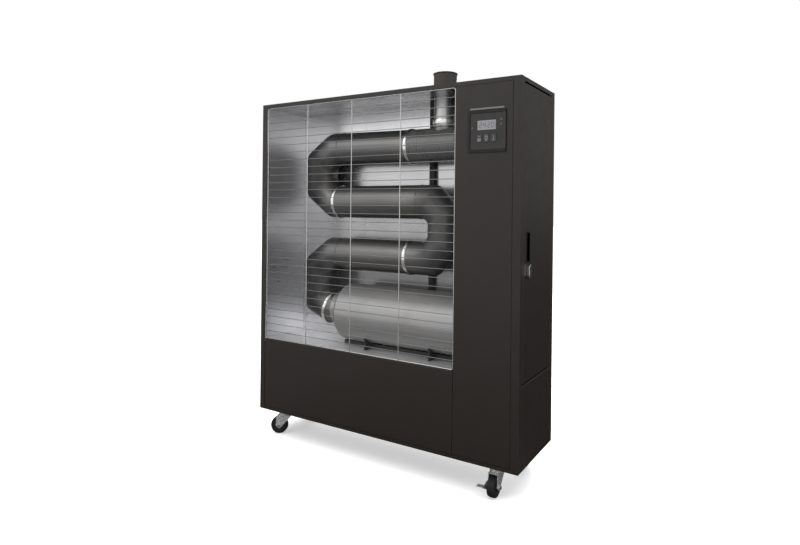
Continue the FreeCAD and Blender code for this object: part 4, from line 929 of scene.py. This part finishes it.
def makeBackSheet():
    through = (cabBack - cutSpare, cabBack + cutSpare)
    rise = (0, 0, backSheet["slotStep"])
    sheet = thicken(foldedPanel("backSheet", "back_panel", front))
    slots = addPlate("airSlots", backSheet["slot"], backSheet["slotHalf"], through)
    repeatAlong(slots, backSheet["slots"], rise)
    cutAway(sheet, slots, addPlate("inletHole", backSheet["inlet"], backSheet["inletHalf"], through))
    # each hood leans out over its slot and is open below
    x, z = backSheet["slot"]
    half, proud = backSheet["slotHalf"][0] + backSheet["hoodWider"], backSheet["hoodProud"]
    hood = addSlab("airHood", (x - half, z - backSheet["hoodDown"]), (x + half, z + backSheet["hoodUp"]),
                   (cabBack, cabBack + proud))
    shiftPoints(hood, lambda point: point.z > z and point.y > cabBack + proud / 2,
                (0, backSheet["hoodTopProud"] - proud, 0))
    dropFaces(hood, down, front)
    useModifier(hood, "SOLIDIFY", thickness=backSheet["hoodGauge"])
    repeatAlong(roundEdges(hood, width=0.0003), backSheet["slots"], rise)
    dressPanel(joinUp("backSheet", [sheet, hood]), "cabinet", "back_panel")


def crossScrew(name, radius, height):
    # a pan-head screw that points along Z, with a cross recess
    screw = lathe(name, [(0, 0), (0, radius), (height * 0.35, radius), (height * 0.8, radius * 0.8),
                         (height, radius * 0.45), (height, 0)], up, 24)
    arm, slot = radius * 0.62, radius * 0.11
    cutAway(screw, addBlock("crossA", (-arm, -slot, height * 0.4), (arm, slot, height * 2)),
            addBlock("crossB", (-slot, -arm, height * 0.4), (slot, arm, height * 2)))
    return evenShade(screw, 30)


def makeScrews():
    low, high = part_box("panel_screws")
    radius, rows = backSheet["screwRadius"], backSheet["screwRows"]
    step = (high.z - low.z - 2 * radius) / (rows - 1)
    one = crossScrew("backScrew", radius, high.y - cabBack)
    columns = []
    for x in (low.x + radius, high.x - radius):
        column = movedCopy(one, "backScrews", (x, cabBack, low.z + radius), (-math.pi / 2, 0, 0))
        columns.append(repeatAlong(column, rows, (0, 0, step)))
    discard(one)
    mount(joinUp("backScrews", columns), "cabinet", "screwZinc", "screw_zinc", "panel_screws")


def makeInlet():
    softenNode("power_inlet", "cabinet", "blackPlastic", "black_plastic", width=0.0008)
    x, z = backSheet["inlet"]
    pitch = backSheet["pinPitch"]
    pins = addPlate("inletPins", (x - pitch, z), backSheet["pinHalf"], backSheet["pinDepth"])
    repeatAlong(roundEdges(pins, width=0.0006), backSheet["pins"], (pitch, 0, 0))
    mount(pins, "cabinet", "brassPin", "screw_zinc")


makeBackSheet()
makeScrews()
makeInlet()
print("back panel pressed")


# wire guard

guard = {
    "wires": 30, "bays": 4, "wireY": -0.149,
    "wireRadius": 0.0012, "stayRadius": 0.0016, "frameRadius": 0.002, "corner": 0.006,
    "weld": (0.0022, 0.0017, 0.0015), "edgeWeldProud": 0.0005,
}


def makeGuard():
    low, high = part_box("front_grille")
    thin, stout, rim = guard["wireRadius"], guard["stayRadius"], guard["frameRadius"]
    west, east = low.x + rim, high.x - rim
    foot, head = low.z + rim, high.z - rim
    y, count = guard["wireY"], guard["wires"]
    step = (head - foot) / (count + 1)
    wires = addRod("guardWires", (west, y, foot + step), (east, y, foot + step), thin, 8)
    roundEdges(wires, thin * 0.3, 1, 60)
    repeatAlong(wires, count, (0, 0, step))
    mount(evenShade(wires, 50), "cabinet", "guardWire", "plated_wire", "front_grille")

    corners = [(west, y, foot), (east, y, foot), (east, y, head), (west, y, head), (west, y, foot)]
    parts = [bentRod("guardFrame", corners, rim, guard["corner"])]
    stayY = y - thin - stout * 0.75
    stay = addRod("guardStay", (west, stayY, low.z + thin), (west, stayY, high.z - thin), stout, 10)
    roundEdges(stay, stout * 0.4, 2, 60)
    clearSelection()
    bpy.ops.mesh.primitive_uv_sphere_add(segments=8, ring_count=5, radius=1)
    weld = bpy.context.object
    weld.scale = guard["weld"]
    weld.location = (0, 0, foot + step)
    settle(weld)
    squeezePoints(weld, lambda point: point.y > 0, (1, 0.5, 1))  # flat where it has run into the wire
    repeatAlong(weld, count, (0, 0, step))
    bay = (east - west) / guard["bays"]
    for index in range(guard["bays"] + 1):
        inner = 0 < index < guard["bays"]
        weldY = (y + stayY) / 2 if inner else y - guard["edgeWeldProud"]
        parts.append(movedCopy(weld, "weld", (west + bay * index, weldY, 0)))
        if inner:
            parts.append(movedCopy(stay, "stay", (bay * index, 0, 0)))
    discard(weld)
    discard(stay)
    mount(evenShade(joinUp("guardFrame", parts), 50), "cabinet", "guardStay", "plated_wire")


makeGuard()
print("wire guard welded")


# radiant tubes with their clamp bands and weld beads, a dark bar as painted shadow under the drum, and the
# seam behind the tubes

hotPath = {
    "tubeRadius": 0.060,
    "runs": [
        [(-0.261, 0.487), (-0.292, 0.487), (-0.351, 0.513), (-0.351, 0.648), (-0.281, 0.698), (0.062, 0.698)],
        [(0.062, 0.698), (0.144, 0.698), (0.194, 0.748), (0.194, 0.845), (0.144, 0.895), (-0.255, 0.895)],
        [(-0.255, 0.895), (-0.281, 0.895), (-0.351, 0.945), (-0.351, 1.050), (-0.281, 1.098), (0.062, 1.092)],
    ],
    # how far each bend is rounded over, corner by corner
    "rounds": [(0, 0.009, 0.015, 0.015), (0.0095, 0.0095, 0.0095, 0.0095), (0.006, 0.015, 0.015, 0.015)],
    "beadRadius": 0.0012,
    "welds": [
        (-0.351, 0.580, up), (-0.240, 0.698, right), (0.194, 0.7965, up),
        (0.105, 0.895, right), (-0.351, 0.9975, up), (-0.240, 1.0973, right),
    ],
    "riserWeld": 1.1505, "riserRadius": 0.0384,
    "drumEnd": -0.1932, "drumY": -0.028, "drumZ": 0.487, "drumRim": 0.0932,
    "shadowBarFront": -0.056, "shadowBarBack": -0.044, "shadowBarFoot": 0.3675, "shadowBarTop": 0.3835,
}


def bentTube(name, run, rounds):
    # straight lengths cut along the mitre planes and run together, then each corner is rounded over
    points = [Vector((x, 0, z)) for x, z in run]
    ways = [(end - start).normalized() for start, end in zip(points, points[1:])]
    radius = hotPath["tubeRadius"]
    lengths = []
    for index, way in enumerate(ways):
        first, last = index == 0, index == len(ways) - 1
        start, end = points[index], points[index + 1]
        spare = way * radius
        length = addRod("tubeLength", start if first else start - spare, end if last else end + spare,
                        radius, 64)
        dropFaces(length, way, -way)
        if not first:
            pickAll()
            mitre = (ways[index - 1] + way).normalized()
            bpy.ops.mesh.bisect(plane_co=start, plane_no=mitre, clear_inner=True)
        if not last:
            pickAll()
            mitre = (way + ways[index + 1]).normalized()
            bpy.ops.mesh.bisect(plane_co=end, plane_no=mitre, clear_outer=True)
        objectMode()
        lengths.append(length)
    tube = joinUp(name, lengths)
    editMode()
    pickAll()
    bpy.ops.mesh.remove_doubles(threshold=2e-5)
    bpy.ops.mesh.normals_make_consistent(inside=False)
    objectMode()
    for corner, arrive, leave, width in zip(points[1:], ways, ways[1:], rounds):
        mitre = (arrive + leave).normalized()
        if width:
            pickEdges(tube, lambda *ends: all(abs((end - corner).dot(mitre)) < 1e-4
                                              and (end - corner).length < radius * 1.5 for end in ends))
            bpy.ops.mesh.bevel(offset=width, segments=4, profile=0.5)
            objectMode()
    return evenShade(tube, 30)


def makeTubes():
    for level, run, rounds in zip(("lower", "middle", "upper"), hotPath["runs"], hotPath["rounds"]):
        tube = bentTube(level + "Tube", run, rounds)
        mount(tube, "cabinet", "tubeSteel", "tube_steel", level + "_radiant_tube")


def makeDrumShadowBar():
    # dark bar under the drum, a painted shadow for the shaded gap beneath it, from the drum's end to the
    # partition through both saddles
    shadowBar = softBlock("drumShadowBar", (hotPath["drumEnd"], hotPath["shadowBarFront"], hotPath["shadowBarFoot"]),
                     (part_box("partition_wall")[0].x, hotPath["shadowBarBack"], hotPath["shadowBarTop"]), width=0.001)
    mount(shadowBar, "cabinet", "darkIron", "dark_iron")


clamp = {
    "seat": 0.0602, "crown": 0.0637, "half": 0.0065, "lip": 0.0014, "fall": 0.0006,
    "places": [(0.062, 0.698), (-0.255, 0.895), (0.062, 1.092)],
    "slantPlace": (-0.292, 0.487), "slantTurn": math.radians(11.9),
    "earZ": 0.0035, "earHalf": 0.001, "earSet": 0.001, "earProud": 0.008,
    "boltOut": 0.0042, "bolt": (-0.009, 0.010), "boltRadius": 0.0018,
    "nut": (0.0047, 0.0080), "head": (-0.0082, -0.0047), "nutRadius": 0.0036,
    "collar": (1.162, 1.178, 0.0385, 0.042), "collarFall": 0.001, "collarRun": 0.003,
}


def makeBands():
    half, seat, crown = clamp["half"], clamp["seat"], clamp["crown"]
    side = [(-half, seat), (-half, seat + clamp["lip"]), (-half * 0.75, crown - clamp["fall"]),
            (-half * 0.3, crown)]
    parts = [lathe("clampBand", mirrored(side), right, 96)]
    # the draw bolt sits behind, between two ears
    boltY, thick = crown + clamp["boltOut"], clamp["earHalf"]
    bolt = addRod("drawBolt", *[(0, boltY, z) for z in clamp["bolt"]], clamp["boltRadius"], 12)
    parts.append(roundEdges(bolt, width=0.0005, steps=2, angle=60))
    for name, key in (("drawNut", "nut"), ("drawHead", "head")):
        parts.append(hexHead(name, *[(0, boltY, z) for z in clamp[key]], clamp["nutRadius"]))
    for z in (-clamp["earZ"], clamp["earZ"]):
        parts.append(softBlock("ear", (-half, crown - clamp["earSet"], z - thick),
                               (half, crown + clamp["earProud"], z + thick), width=0.0005))
    band = joinUp("clampBand", parts)
    bands = [movedCopy(band, "band", (x, 0, z)) for x, z in clamp["places"]]
    x, z = clamp["slantPlace"]
    turn = clamp["slantTurn"]
    bands.append(movedCopy(band, "band", (x, 0, z), (0, turn, 0), (1, 1, 1 / math.cos(turn))))
    discard(band)
    low, high, inner, outer = clamp["collar"]
    fallen, run = outer - clamp["collarFall"], clamp["collarRun"]
    collar = lathe("collar", [(low, inner), (low, fallen), (low + run, outer), (high - run, outer),
                              (high, fallen), (high, inner), (low, inner)],
                   up, 72, (flueCentre.x, flueCentre.y, 0))
    whole = evenShade(joinUp("clampBands", bands + [collar]))
    mount(whole, "cabinet", "brightRing", "bright_ring", "joint_rings")


def addBead(place, way, radius):
    bead = addRing(place, radius, hotPath["beadRadius"], 6, math.atan2(way[0], way[2]))
    return useModifier(bead, "DISPLACE", texture=beadRipple, texture_coords="LOCAL",
                       strength=hotPath["beadRadius"] * 0.8)


def makeBeads():
    radius, end, z = hotPath["tubeRadius"], hotPath["drumEnd"], hotPath["drumZ"]
    beads = [addBead((weldX, 0, weldZ), way, radius) for weldX, weldZ, way in hotPath["welds"]]
    beads.append(addBead((end, 0, z), left, radius))
    beads.append(addBead((end, hotPath["drumY"], z), left, hotPath["drumRim"]))
    beads.append(addBead((flueCentre.x, 0, hotPath["riserWeld"]), up, hotPath["riserRadius"]))
    mount(evenShade(joinUp("weldBeads", beads), 60), "cabinet", "weldSteel", "tube_steel")


seam = {
    "x": -0.205, "half": 0.006, "gauge": 0.0008, "above": 0.017, "below": 0.002,
    "rivets": 15, "rivetRadius": 0.0022, "rivetFrom": 0.04, "rivetSpare": 0.07,
}


def makeSeam():
    low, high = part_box("reflector_back")
    x, half, radius = seam["x"], seam["half"], seam["rivetRadius"]
    proud = low.y - seam["gauge"]
    strip = addSlab("sheetSeam", (x - half, low.z + seam["above"]), (x + half, high.z - seam["below"]),
                    (proud, low.y))
    roundEdges(strip, width=0.0003)
    rivets = lathe("rivets", [(0, radius), (0.0006, radius * 0.85), (0.001, radius * 0.4), (0.001, 0)],
                   front, 16, (x, proud, low.z + seam["rivetFrom"]))
    step = (high.z - low.z - seam["rivetSpare"]) / (seam["rivets"] - 1)
    repeatAlong(rivets, seam["rivets"], (0, 0, step))
    mount(evenShade(joinUp("sheetSeam", [strip, rivets])), "cabinet", "polishedSheet", "polished_sheet")


beadRipple = bpy.data.textures.new("beadRipple", "CLOUDS")
beadRipple.noise_scale = 0.005
makeTubes()
makeDrumShadowBar()
makeBands()
makeBeads()
makeSeam()
print("tubes clamped and welded")


# flue collar on the roof

flue = {"rimHeight": 1.3342, "rimRadius": 0.0402, "rimBead": 0.0024, "flatAbove": 0.0005}


def makeFlue():
    spigot = softCopy("flue_spigot", width=0.0008)
    rim = addRing((flueCentre.x, flueCentre.y, flue["rimHeight"]), flue["rimRadius"], flue["rimBead"], 10)
    flatFrom = flue["rimHeight"] + flue["flatAbove"]
    squeezePoints(rim, lambda point: point.z > flatFrom, (1, 1, 0.4))  # the rolled edge is flat on top
    mount(joinUp("flueCollar", [spigot, rim]), "cabinet", "flueBlack", "flue_black", "flue_spigot")


makeFlue()
print("flue collar fitted")


# control face

controls = {
    "face": -0.158, "foil": 0.0003, "foilSet": 0.0001,
    "foilLow": (0.3625, 1.0515), "foilHigh": (0.4685, 1.1605),
    "screen": (0.4155, 1.1245), "screenHalf": (0.030, 0.0145), "screenGap": 0.0002,
    "screenProud": 0.0008, "screenSet": 0.002,
    "keyX": (0.3922, 0.4155, 0.4388), "keyZ": 1.085, "keyHalf": (0.008, 0.012), "keyGap": 0.0004,
    "keyTop": -0.160,
    "lamps": [(0.4625, 1.139), (0.4625, 1.1245), (0.3685, 1.11725)], "lampRadius": 0.0031,
    # the brow strip is a painted highlight and the cheek is painted light on the bezel's right bar
    "browLow": (0.3600, 1.1718), "browHigh": (0.4722, 1.1776), "browProud": 0.0026, "browSet": 0.0004,
    "cheekLow": (0.4688, 1.0520), "cheekHigh": (0.4771, 1.1600), "cheekProud": 0.0003, "cheekGap": 0.0001,
    "digitTall": 0.0156, "digitWide": 0.0072, "barHalf": 0.0008, "barGap": 0.0004,
    "inkProud": 0.0001, "inkSet": 0.0002,
    "digits": [("abged", 0.3915), ("fgbc", 0.4040), ("abged", 0.4195), ("abcdef", 0.4320)],
    # low and high corners of each mark's blocks: a square under a bar, none for the ring, a footed bar
    "marks": [
        [((-0.0058, -0.010), (0.0058, 0.0005)), ((-0.004, 0.005), (0.004, 0.0072))],
        [],
        [((-0.0011, -0.0064), (0.0011, 0.008)), ((-0.0036, -0.008), (0.0036, -0.0062))],
    ],
    "markProud": 0.0002, "markSet": 0.0006,
    "ring": [(0, 0.0026), (0, 0.0054), (0.0003, 0.0054), (0.0004, 0.0050), (0.0004, 0.0030), (0.0003, 0.0026),
             (0, 0.0026)],
    "ringStretch": 1.5, "ringSet": 0.0002,
}


def addBars(word, x):
    # one figure of a seven-bar display, with its bars named a to g from the top round
    wide, tall = controls["digitWide"], controls["digitTall"]
    reach, gap = controls["barHalf"], controls["barGap"]
    middle = controls["screen"][1]
    level = {"a": middle + tall / 2, "g": middle, "d": middle - tall / 2}
    upright = {"f": (x, 1), "b": (x + wide, 1), "e": (x, -1), "c": (x + wide, -1)}
    glass = controls["face"] - controls["screenProud"]
    depth = (glass - controls["inkProud"], glass + controls["inkSet"])
    bars = []
    for letter in word:
        if letter in level:
            z = level[letter]
            low, high = (x + gap, z - reach), (x + wide - gap, z + reach)
        else:
            side, half = upright[letter]
            foot, head = sorted((middle + half * gap, middle + half * (tall / 2 - gap)))
            low, high = (side - reach, foot), (side + reach, head)
        bars.append(roundEdges(addSlab("bar", low, high, depth), width=0.00009, steps=1))
    return bars


def makeBezelLightAndShade():
    # a pale strip along the bezel's top as a painted highlight, and a cheek that wraps its right bar
    panelFront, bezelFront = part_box("control_column_panel")[0].y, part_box("control_box")[0].y
    highlightStrip = addSlab("bezelHighlightStrip", controls["browLow"], controls["browHigh"],
                   (panelFront - controls["browProud"], panelFront + controls["browSet"]))
    mount(evenShade(roundEdges(highlightStrip, width=0.0009, steps=3)), "cabinet", "highlightPlastic", "black_plastic")
    # the cheek lightens the right bar with the face's plastic: painted light, while the black left and bottom
    # bars stay dark as painted shade
    cheek = addSlab("bezelCheek", controls["cheekLow"], controls["cheekHigh"],
                    (bezelFront - controls["cheekProud"], panelFront - controls["cheekGap"]))
    mount(evenShade(roundEdges(cheek, width=0.0006, steps=3)), "cabinet", "facePlastic", "black_plastic")


def makeFace():
    face, radius = controls["face"], controls["lampRadius"]
    through = (face - cutSpare, face + cutSpare)
    foil = addSlab("faceFoil", controls["foilLow"], controls["foilHigh"],
                   (face - controls["foil"], face + controls["foilSet"]))
    keyHole = [half + controls["keyGap"] for half in controls["keyHalf"]]
    cutters = [addPlate("screenHole", controls["screen"], controls["screenHalf"], through)]
    cutters += [addPlate("keyHole", (x, controls["keyZ"]), keyHole, through) for x in controls["keyX"]]
    cutters += [addRod("lampHole", *[(x, y, z) for y in through], radius) for x, z in controls["lamps"]]
    cutAway(foil, *cutters)
    mount(roundEdges(foil, width=0.0001, steps=1, angle=60), "cabinet", "facePlastic", "black_plastic")

    screenHalf = [half - controls["screenGap"] for half in controls["screenHalf"]]
    screen = addPlate("screenPlate", controls["screen"], screenHalf,
                      (face - controls["screenProud"], face + controls["screenSet"]))
    evenShade(roundEdges(screen, width=0.0006, steps=3))
    mount(screen, "cabinet", "screenGlow", "screen_plastic", "display_window")
    bars = [bar for word, x in controls["digits"] for bar in addBars(word, x)]
    mount(joinUp("screenFigures", bars), "cabinet", "screenInk", "screen_plastic")

    lens = lathe("lampLens", [(0, radius - 0.0001), (0.0006, radius - 0.0003), (0.0012, radius * 0.55),
                              (0.0014, 0)], front, 24)
    lenses = [movedCopy(lens, "lampLens", (x, face + controls["foilSet"], z)) for x, z in controls["lamps"]]
    discard(lens)
    mount(evenShade(joinUp("lampLenses", lenses)), "cabinet", "lampLens", "screen_plastic")


def addRingMark(x, z):
    ring = lathe("mark", controls["ring"], front, 36)
    ring.scale = (1, 1, controls["ringStretch"])
    ring.location = (x, controls["keyTop"] + controls["ringSet"], z)
    return settle(ring)


def makeKeys():
    top, z = controls["keyTop"], controls["keyZ"]
    depth = (top - controls["markProud"], top + controls["markSet"])
    for index, letter in enumerate("abc"):
        x = controls["keyX"][index]
        softenNode("button_%d" % (index + 1), "button_" + letter, "keyPlastic", "button_plastic",
                   width=0.0009, steps=3)
        marks = []
        for low, high in controls["marks"][index]:
            mark = addSlab("mark", (x + low[0], z + low[1]), (x + high[0], z + high[1]), depth)
            marks.append(roundEdges(mark, width=0.0002))
        mark = joinUp("keyMark" + letter.upper(), marks or [addRingMark(x, z)])
        mount(evenShade(mark), "button_" + letter, "keyMark", "button_plastic")


softenNode("control_box", "cabinet", "blackPlastic", "black_plastic", width=0.0014, steps=3)
makeBezelLightAndShade()
makeFace()
makeKeys()
print("control face made")


# casters

casters = {
    "corners": ("front_left", "front_right", "rear_left", "rear_right"),
    "braked": ("front_right", "rear_right"),
    "ribs": 6, "ribLow": (0.0080, -0.0010, -0.0095), "ribHigh": (0.0172, 0.0010, 0.0095),
    "axleEnd": (0.0205, 0.0235), "axleNut": 0.0062,
    "plateX": 0.438, "plateY": 0.105, "boltReach": 0.024, "boltRadius": 0.0050,
    "boltFoot": 0.0885, "boltTop": 0.0921,
    # one side of each outline, as (along the axle, radius)
    "tyre": [(-0.0117, 0.0200), (-0.0120, 0.0280), (-0.0108, 0.0310), (-0.0065, 0.0323)],
    "tread": 0.0325,
    "hub": [(-0.0114, 0.0042), (-0.0114, 0.0082), (-0.0055, 0.0092), (-0.0055, 0.0165), (-0.0105, 0.0178),
            (-0.0105, 0.0201)],
}


def makeTyreAndHub():
    tyre = evenShade(lathe("tyre", mirrored(casters["tyre"], (0, casters["tread"])), up, 72), 30)
    hub = lathe("hub", mirrored(casters["hub"]), up, 60)
    rib = softBlock("rib", casters["ribLow"], casters["ribHigh"], width=0.0004)
    ribs = [movedCopy(rib, "rib", origin, (0, 0, math.tau * index / casters["ribs"]))
            for index in range(casters["ribs"])]
    discard(rib)
    return tyre, evenShade(joinUp("hub", [hub] + ribs), 30)


def makeCasters():
    places = {}
    for joint in frame["record"]["behaviour"]["joints"]:
        if joint["name"].startswith("roll_"):
            places[joint["name"][5:]] = (joint["pos_m"], Vector(joint["axis"]))
    tyre, hub = makeTyreAndHub()
    for corner in casters["corners"]:
        place, axis = places[corner]
        turn = axis.to_track_quat("Z", "Y").to_euler()
        name = corner.replace("_r", "R").replace("_l", "L")
        wheel, fork = "wheel_" + corner, "caster_" + corner
        mount(movedCopy(tyre, name + "Tyre", place, turn), wheel, "wheelRubber", "wheel_rubber",
              "caster_" + wheel)
        mount(movedCopy(hub, name + "Hub", place, turn), wheel, "wheelHub", "wheel_rubber")
        softenNode("caster_fork_" + corner, fork, "casterZinc", "caster_zinc", width=0.0007)
        ends = []
        for side in (-1, 1):
            inner, outer = [Vector(place) + axis * side * reach for reach in casters["axleEnd"]]
            ends.append(hexHead("axleEnd", inner, outer, casters["axleNut"]))
        mount(joinUp(name + "AxleNuts", ends), fork, "screwZinc", "caster_zinc")
    discard(tyre)
    discard(hub)
    for corner in casters["braked"]:
        softenNode("brake_lever_" + corner, "brake_" + corner, "casterZinc", "caster_zinc", width=0.0007)
    parts = [softCopy("caster_plates", width=0.0007)]
    for sideX, sideY, stepX, stepY in itertools.product((-1, 1), repeat=4):
        at = (sideX * casters["plateX"] + stepX * casters["boltReach"],
              sideY * casters["plateY"] + stepY * casters["boltReach"])
        parts.append(hexHead("plateBolt", (*at, casters["boltFoot"]), (*at, casters["boltTop"]),
                             casters["boltRadius"]))
    mount(joinUp("casterPlates", parts), "cabinet", "casterZinc", "caster_zinc", "caster_plates")


makeCasters()
print("casters built")


# burner, pump, board and tank behind the door

burner = {
    "motorCentre": (0.410, 0.487), "motorFrom": 0.012, "motorTo": 0.108, "motorRadius": 0.045,
    "endLong": 0.012, "endStep": 0.004, "fins": 11, "finFrom": 0.014, "finSpare": 0.030, "finDepth": 0.0028,
    "lipProud": 0.0008, "lipFoot": 0.012, "lipHead": 0.009, "bushingInset": 0.027,
    "bushing": [(0, 0.0085), (0.002, 0.0085), (0.003, 0.0066), (0.0045, 0.0066), (0.0055, 0.0052),
                (0.009, 0.0045), (0.009, 0)],
    "line": (0.338, 0.100), "nutLow": 0.418, "nutTall": 0.011, "nutRadius": 0.0078,
}


def makeMotor():
    start, end, radius = burner["motorFrom"], burner["motorTo"], burner["motorRadius"]
    long, step = burner["endLong"], burner["endStep"]
    outline = [(start, 0), (start, radius * 0.86), (start + step, radius * 0.97), (start + long, radius)]
    pitch = (end - start - burner["finSpare"]) / burner["fins"]
    valley = radius - burner["finDepth"]
    for index in range(burner["fins"]):
        at = start + burner["finFrom"] + pitch * index
        outline += [(at, radius), (at + pitch * 0.15, valley), (at + pitch * 0.55, valley),
                    (at + pitch * 0.7, radius)]
    outline += [(end - long, radius), (end - step, radius * 0.95), (end, radius * 0.8), (end, 0)]
    x, z = burner["motorCentre"]
    motor = evenShade(lathe("burnerMotor", outline, back, 64, (x, 0, z)), 30)
    mount(motor, "cabinet", "motorPaint", "motor_paint", "burner_motor")


def makeIgnition():
    low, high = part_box("ignition_transformer")
    case = softCopy("ignition_transformer", width=0.003, steps=3)
    proud = burner["lipProud"]
    lip = softBlock("lidLip", (low.x - proud, low.y - proud, high.z - burner["lipFoot"]),
                    (high.x + proud, high.y + proud, high.z - burner["lipHead"]), width=0.0008)
    mount(joinUp("ignitionCase", [case, lip]), "cabinet", "motorPaint", "motor_paint", "ignition_transformer")
    bushing = lathe("bushing", burner["bushing"], front, 32)
    pair = [movedCopy(bushing, "bushing", (x, low.y, (low.z + high.z) / 2))
            for x in (low.x + burner["bushingInset"], high.x - burner["bushingInset"])]
    discard(bushing)
    mount(joinUp("ignitionBushings", pair), "cabinet", "ceramic", "motor_paint")


def makeFlareNut():
    foot = (*burner["line"], burner["nutLow"])
    head = (*burner["line"], burner["nutLow"] + burner["nutTall"])
    mount(hexHead("flareNut", foot, head, burner["nutRadius"]), "cabinet", "brassPin", "copper_pipe")


board = {
    # the size of the relays and of the sockets, each with the low corners of its row
    "blocks": [
        ((0.019, 0.0155, 0.0155), [(0.372, 1.062), (0.396, 1.062), (0.372, 1.086)]),
        ((0.030, 0.010, 0.008), [(0.372, 1.148), (0.410, 1.148)]),
    ],
    "cans": [(0.430, 1.070), (0.446, 1.070), (0.430, 1.090)], "canRadius": 0.0055, "canTall": 0.016,
}


def makeBoard():
    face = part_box("control_board")[1].y
    parts = []
    for (wide, deep, tall), places in board["blocks"]:
        for x, z in places:
            high = (x + wide, face + deep, z + tall)
            parts.append(softBlock("component", (x, face, z), high, width=0.0008))
    radius, tall = board["canRadius"], board["canTall"]
    can = lathe("can", [(0, radius), (tall * 0.8, radius), (tall * 0.85, radius * 0.88), (tall * 0.9, radius),
                        (tall, radius * 0.9), (tall, radius * 0.6), (tall - 0.0005, 0)], back, 24)
    parts += [movedCopy(can, "component", (x, face, z)) for x, z in board["cans"]]
    discard(can)
    mount(evenShade(joinUp("boardParts", parts)), "cabinet", "componentBlack", "board_laminate")


cap = {
    "barLong": 0.0145, "barHalf": 0.0035, "barSet": 0.0005, "barProud": 0.001,
    "ridge": [(0, 0.0235), (0.0006, 0.0232), (0.0009, 0.0222), (0.0009, 0.0208), (0.0006, 0.0198),
              (0, 0.0195)],
    "ridgeSet": 0.0001,
}


def makeFillerCap():
    low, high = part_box("filler_cap")
    middle = (low + high) / 2
    long, half = cap["barLong"], cap["barHalf"]
    lid = softCopy("filler_cap", width=0.0012, steps=3)
    ridge = lathe("capRidge", cap["ridge"], up, 60, (middle.x, middle.y, high.z - cap["ridgeSet"]))
    bar = softBlock("capBar", (middle.x - long, middle.y - half, high.z - cap["barSet"]),
                    (middle.x + long, middle.y + half, high.z + cap["barProud"]), width=0.0006)
    mount(joinUp("fillerCap", [lid, ridge, bar]), "cap", "blackPlastic", "black_plastic", "filler_cap")


makeMotor()
makeIgnition()
makeFlareNut()
makeBoard()
makeFillerCap()
softenNode("fuel_pump", "cabinet", "castMetal", "pump_metal", width=0.0015, steps=3)
softenNode("control_board", "cabinet", "boardGreen", "board_laminate", width=0.0003, steps=1)
softenNode("burner_housing", "cabinet", "castMetal", "burner_paint", width=0.0012)
softenNode("blast_tube", "cabinet", "castMetal", "tube_steel", width=0.0008)
softenNode("fuel_tank", "cabinet", "tankPaint", "tank_paint", width=0.003)
softenNode("filler_neck", "cabinet", "tankPaint", "tank_paint", width=0.0008)
softenNode("tube_supports", "cabinet", "darkIron", "dark_iron", width=0.001)
softenNode("hinge_brackets", "cabinet", "cabinetPaint", "cabinet_paint", width=0.0005)
softenNode("air_shutter", "shutter", "castMetal", "pump_metal", width=0.0006)
print("burner and tank dressed")


# what stays as modelled in CAD

plainNodes = {
    "reflector_back": "polishedSheet",
    "reflector_top": "ceilingSheet",
    "reflector_left": "wallSheet",
    "reflector_floor": "floorSheet",
    "partition_wall": "dullSheet",
    "tank_deck": "galvanised",
    "blower_impeller": "galvanised",
    "combustion_drum": "drumSteel",
    "flue_tee": "teeSteel",
    "filler_gasket": "sealRubber",
    "fuel_line": "copperPipe",
}
for nodeName, finishName in plainNodes.items():
    mesh = nodes[nodeName].data
    mesh.materials.clear()
    mesh.materials.append(finishes[finishName])
print("CAD pieces finished")
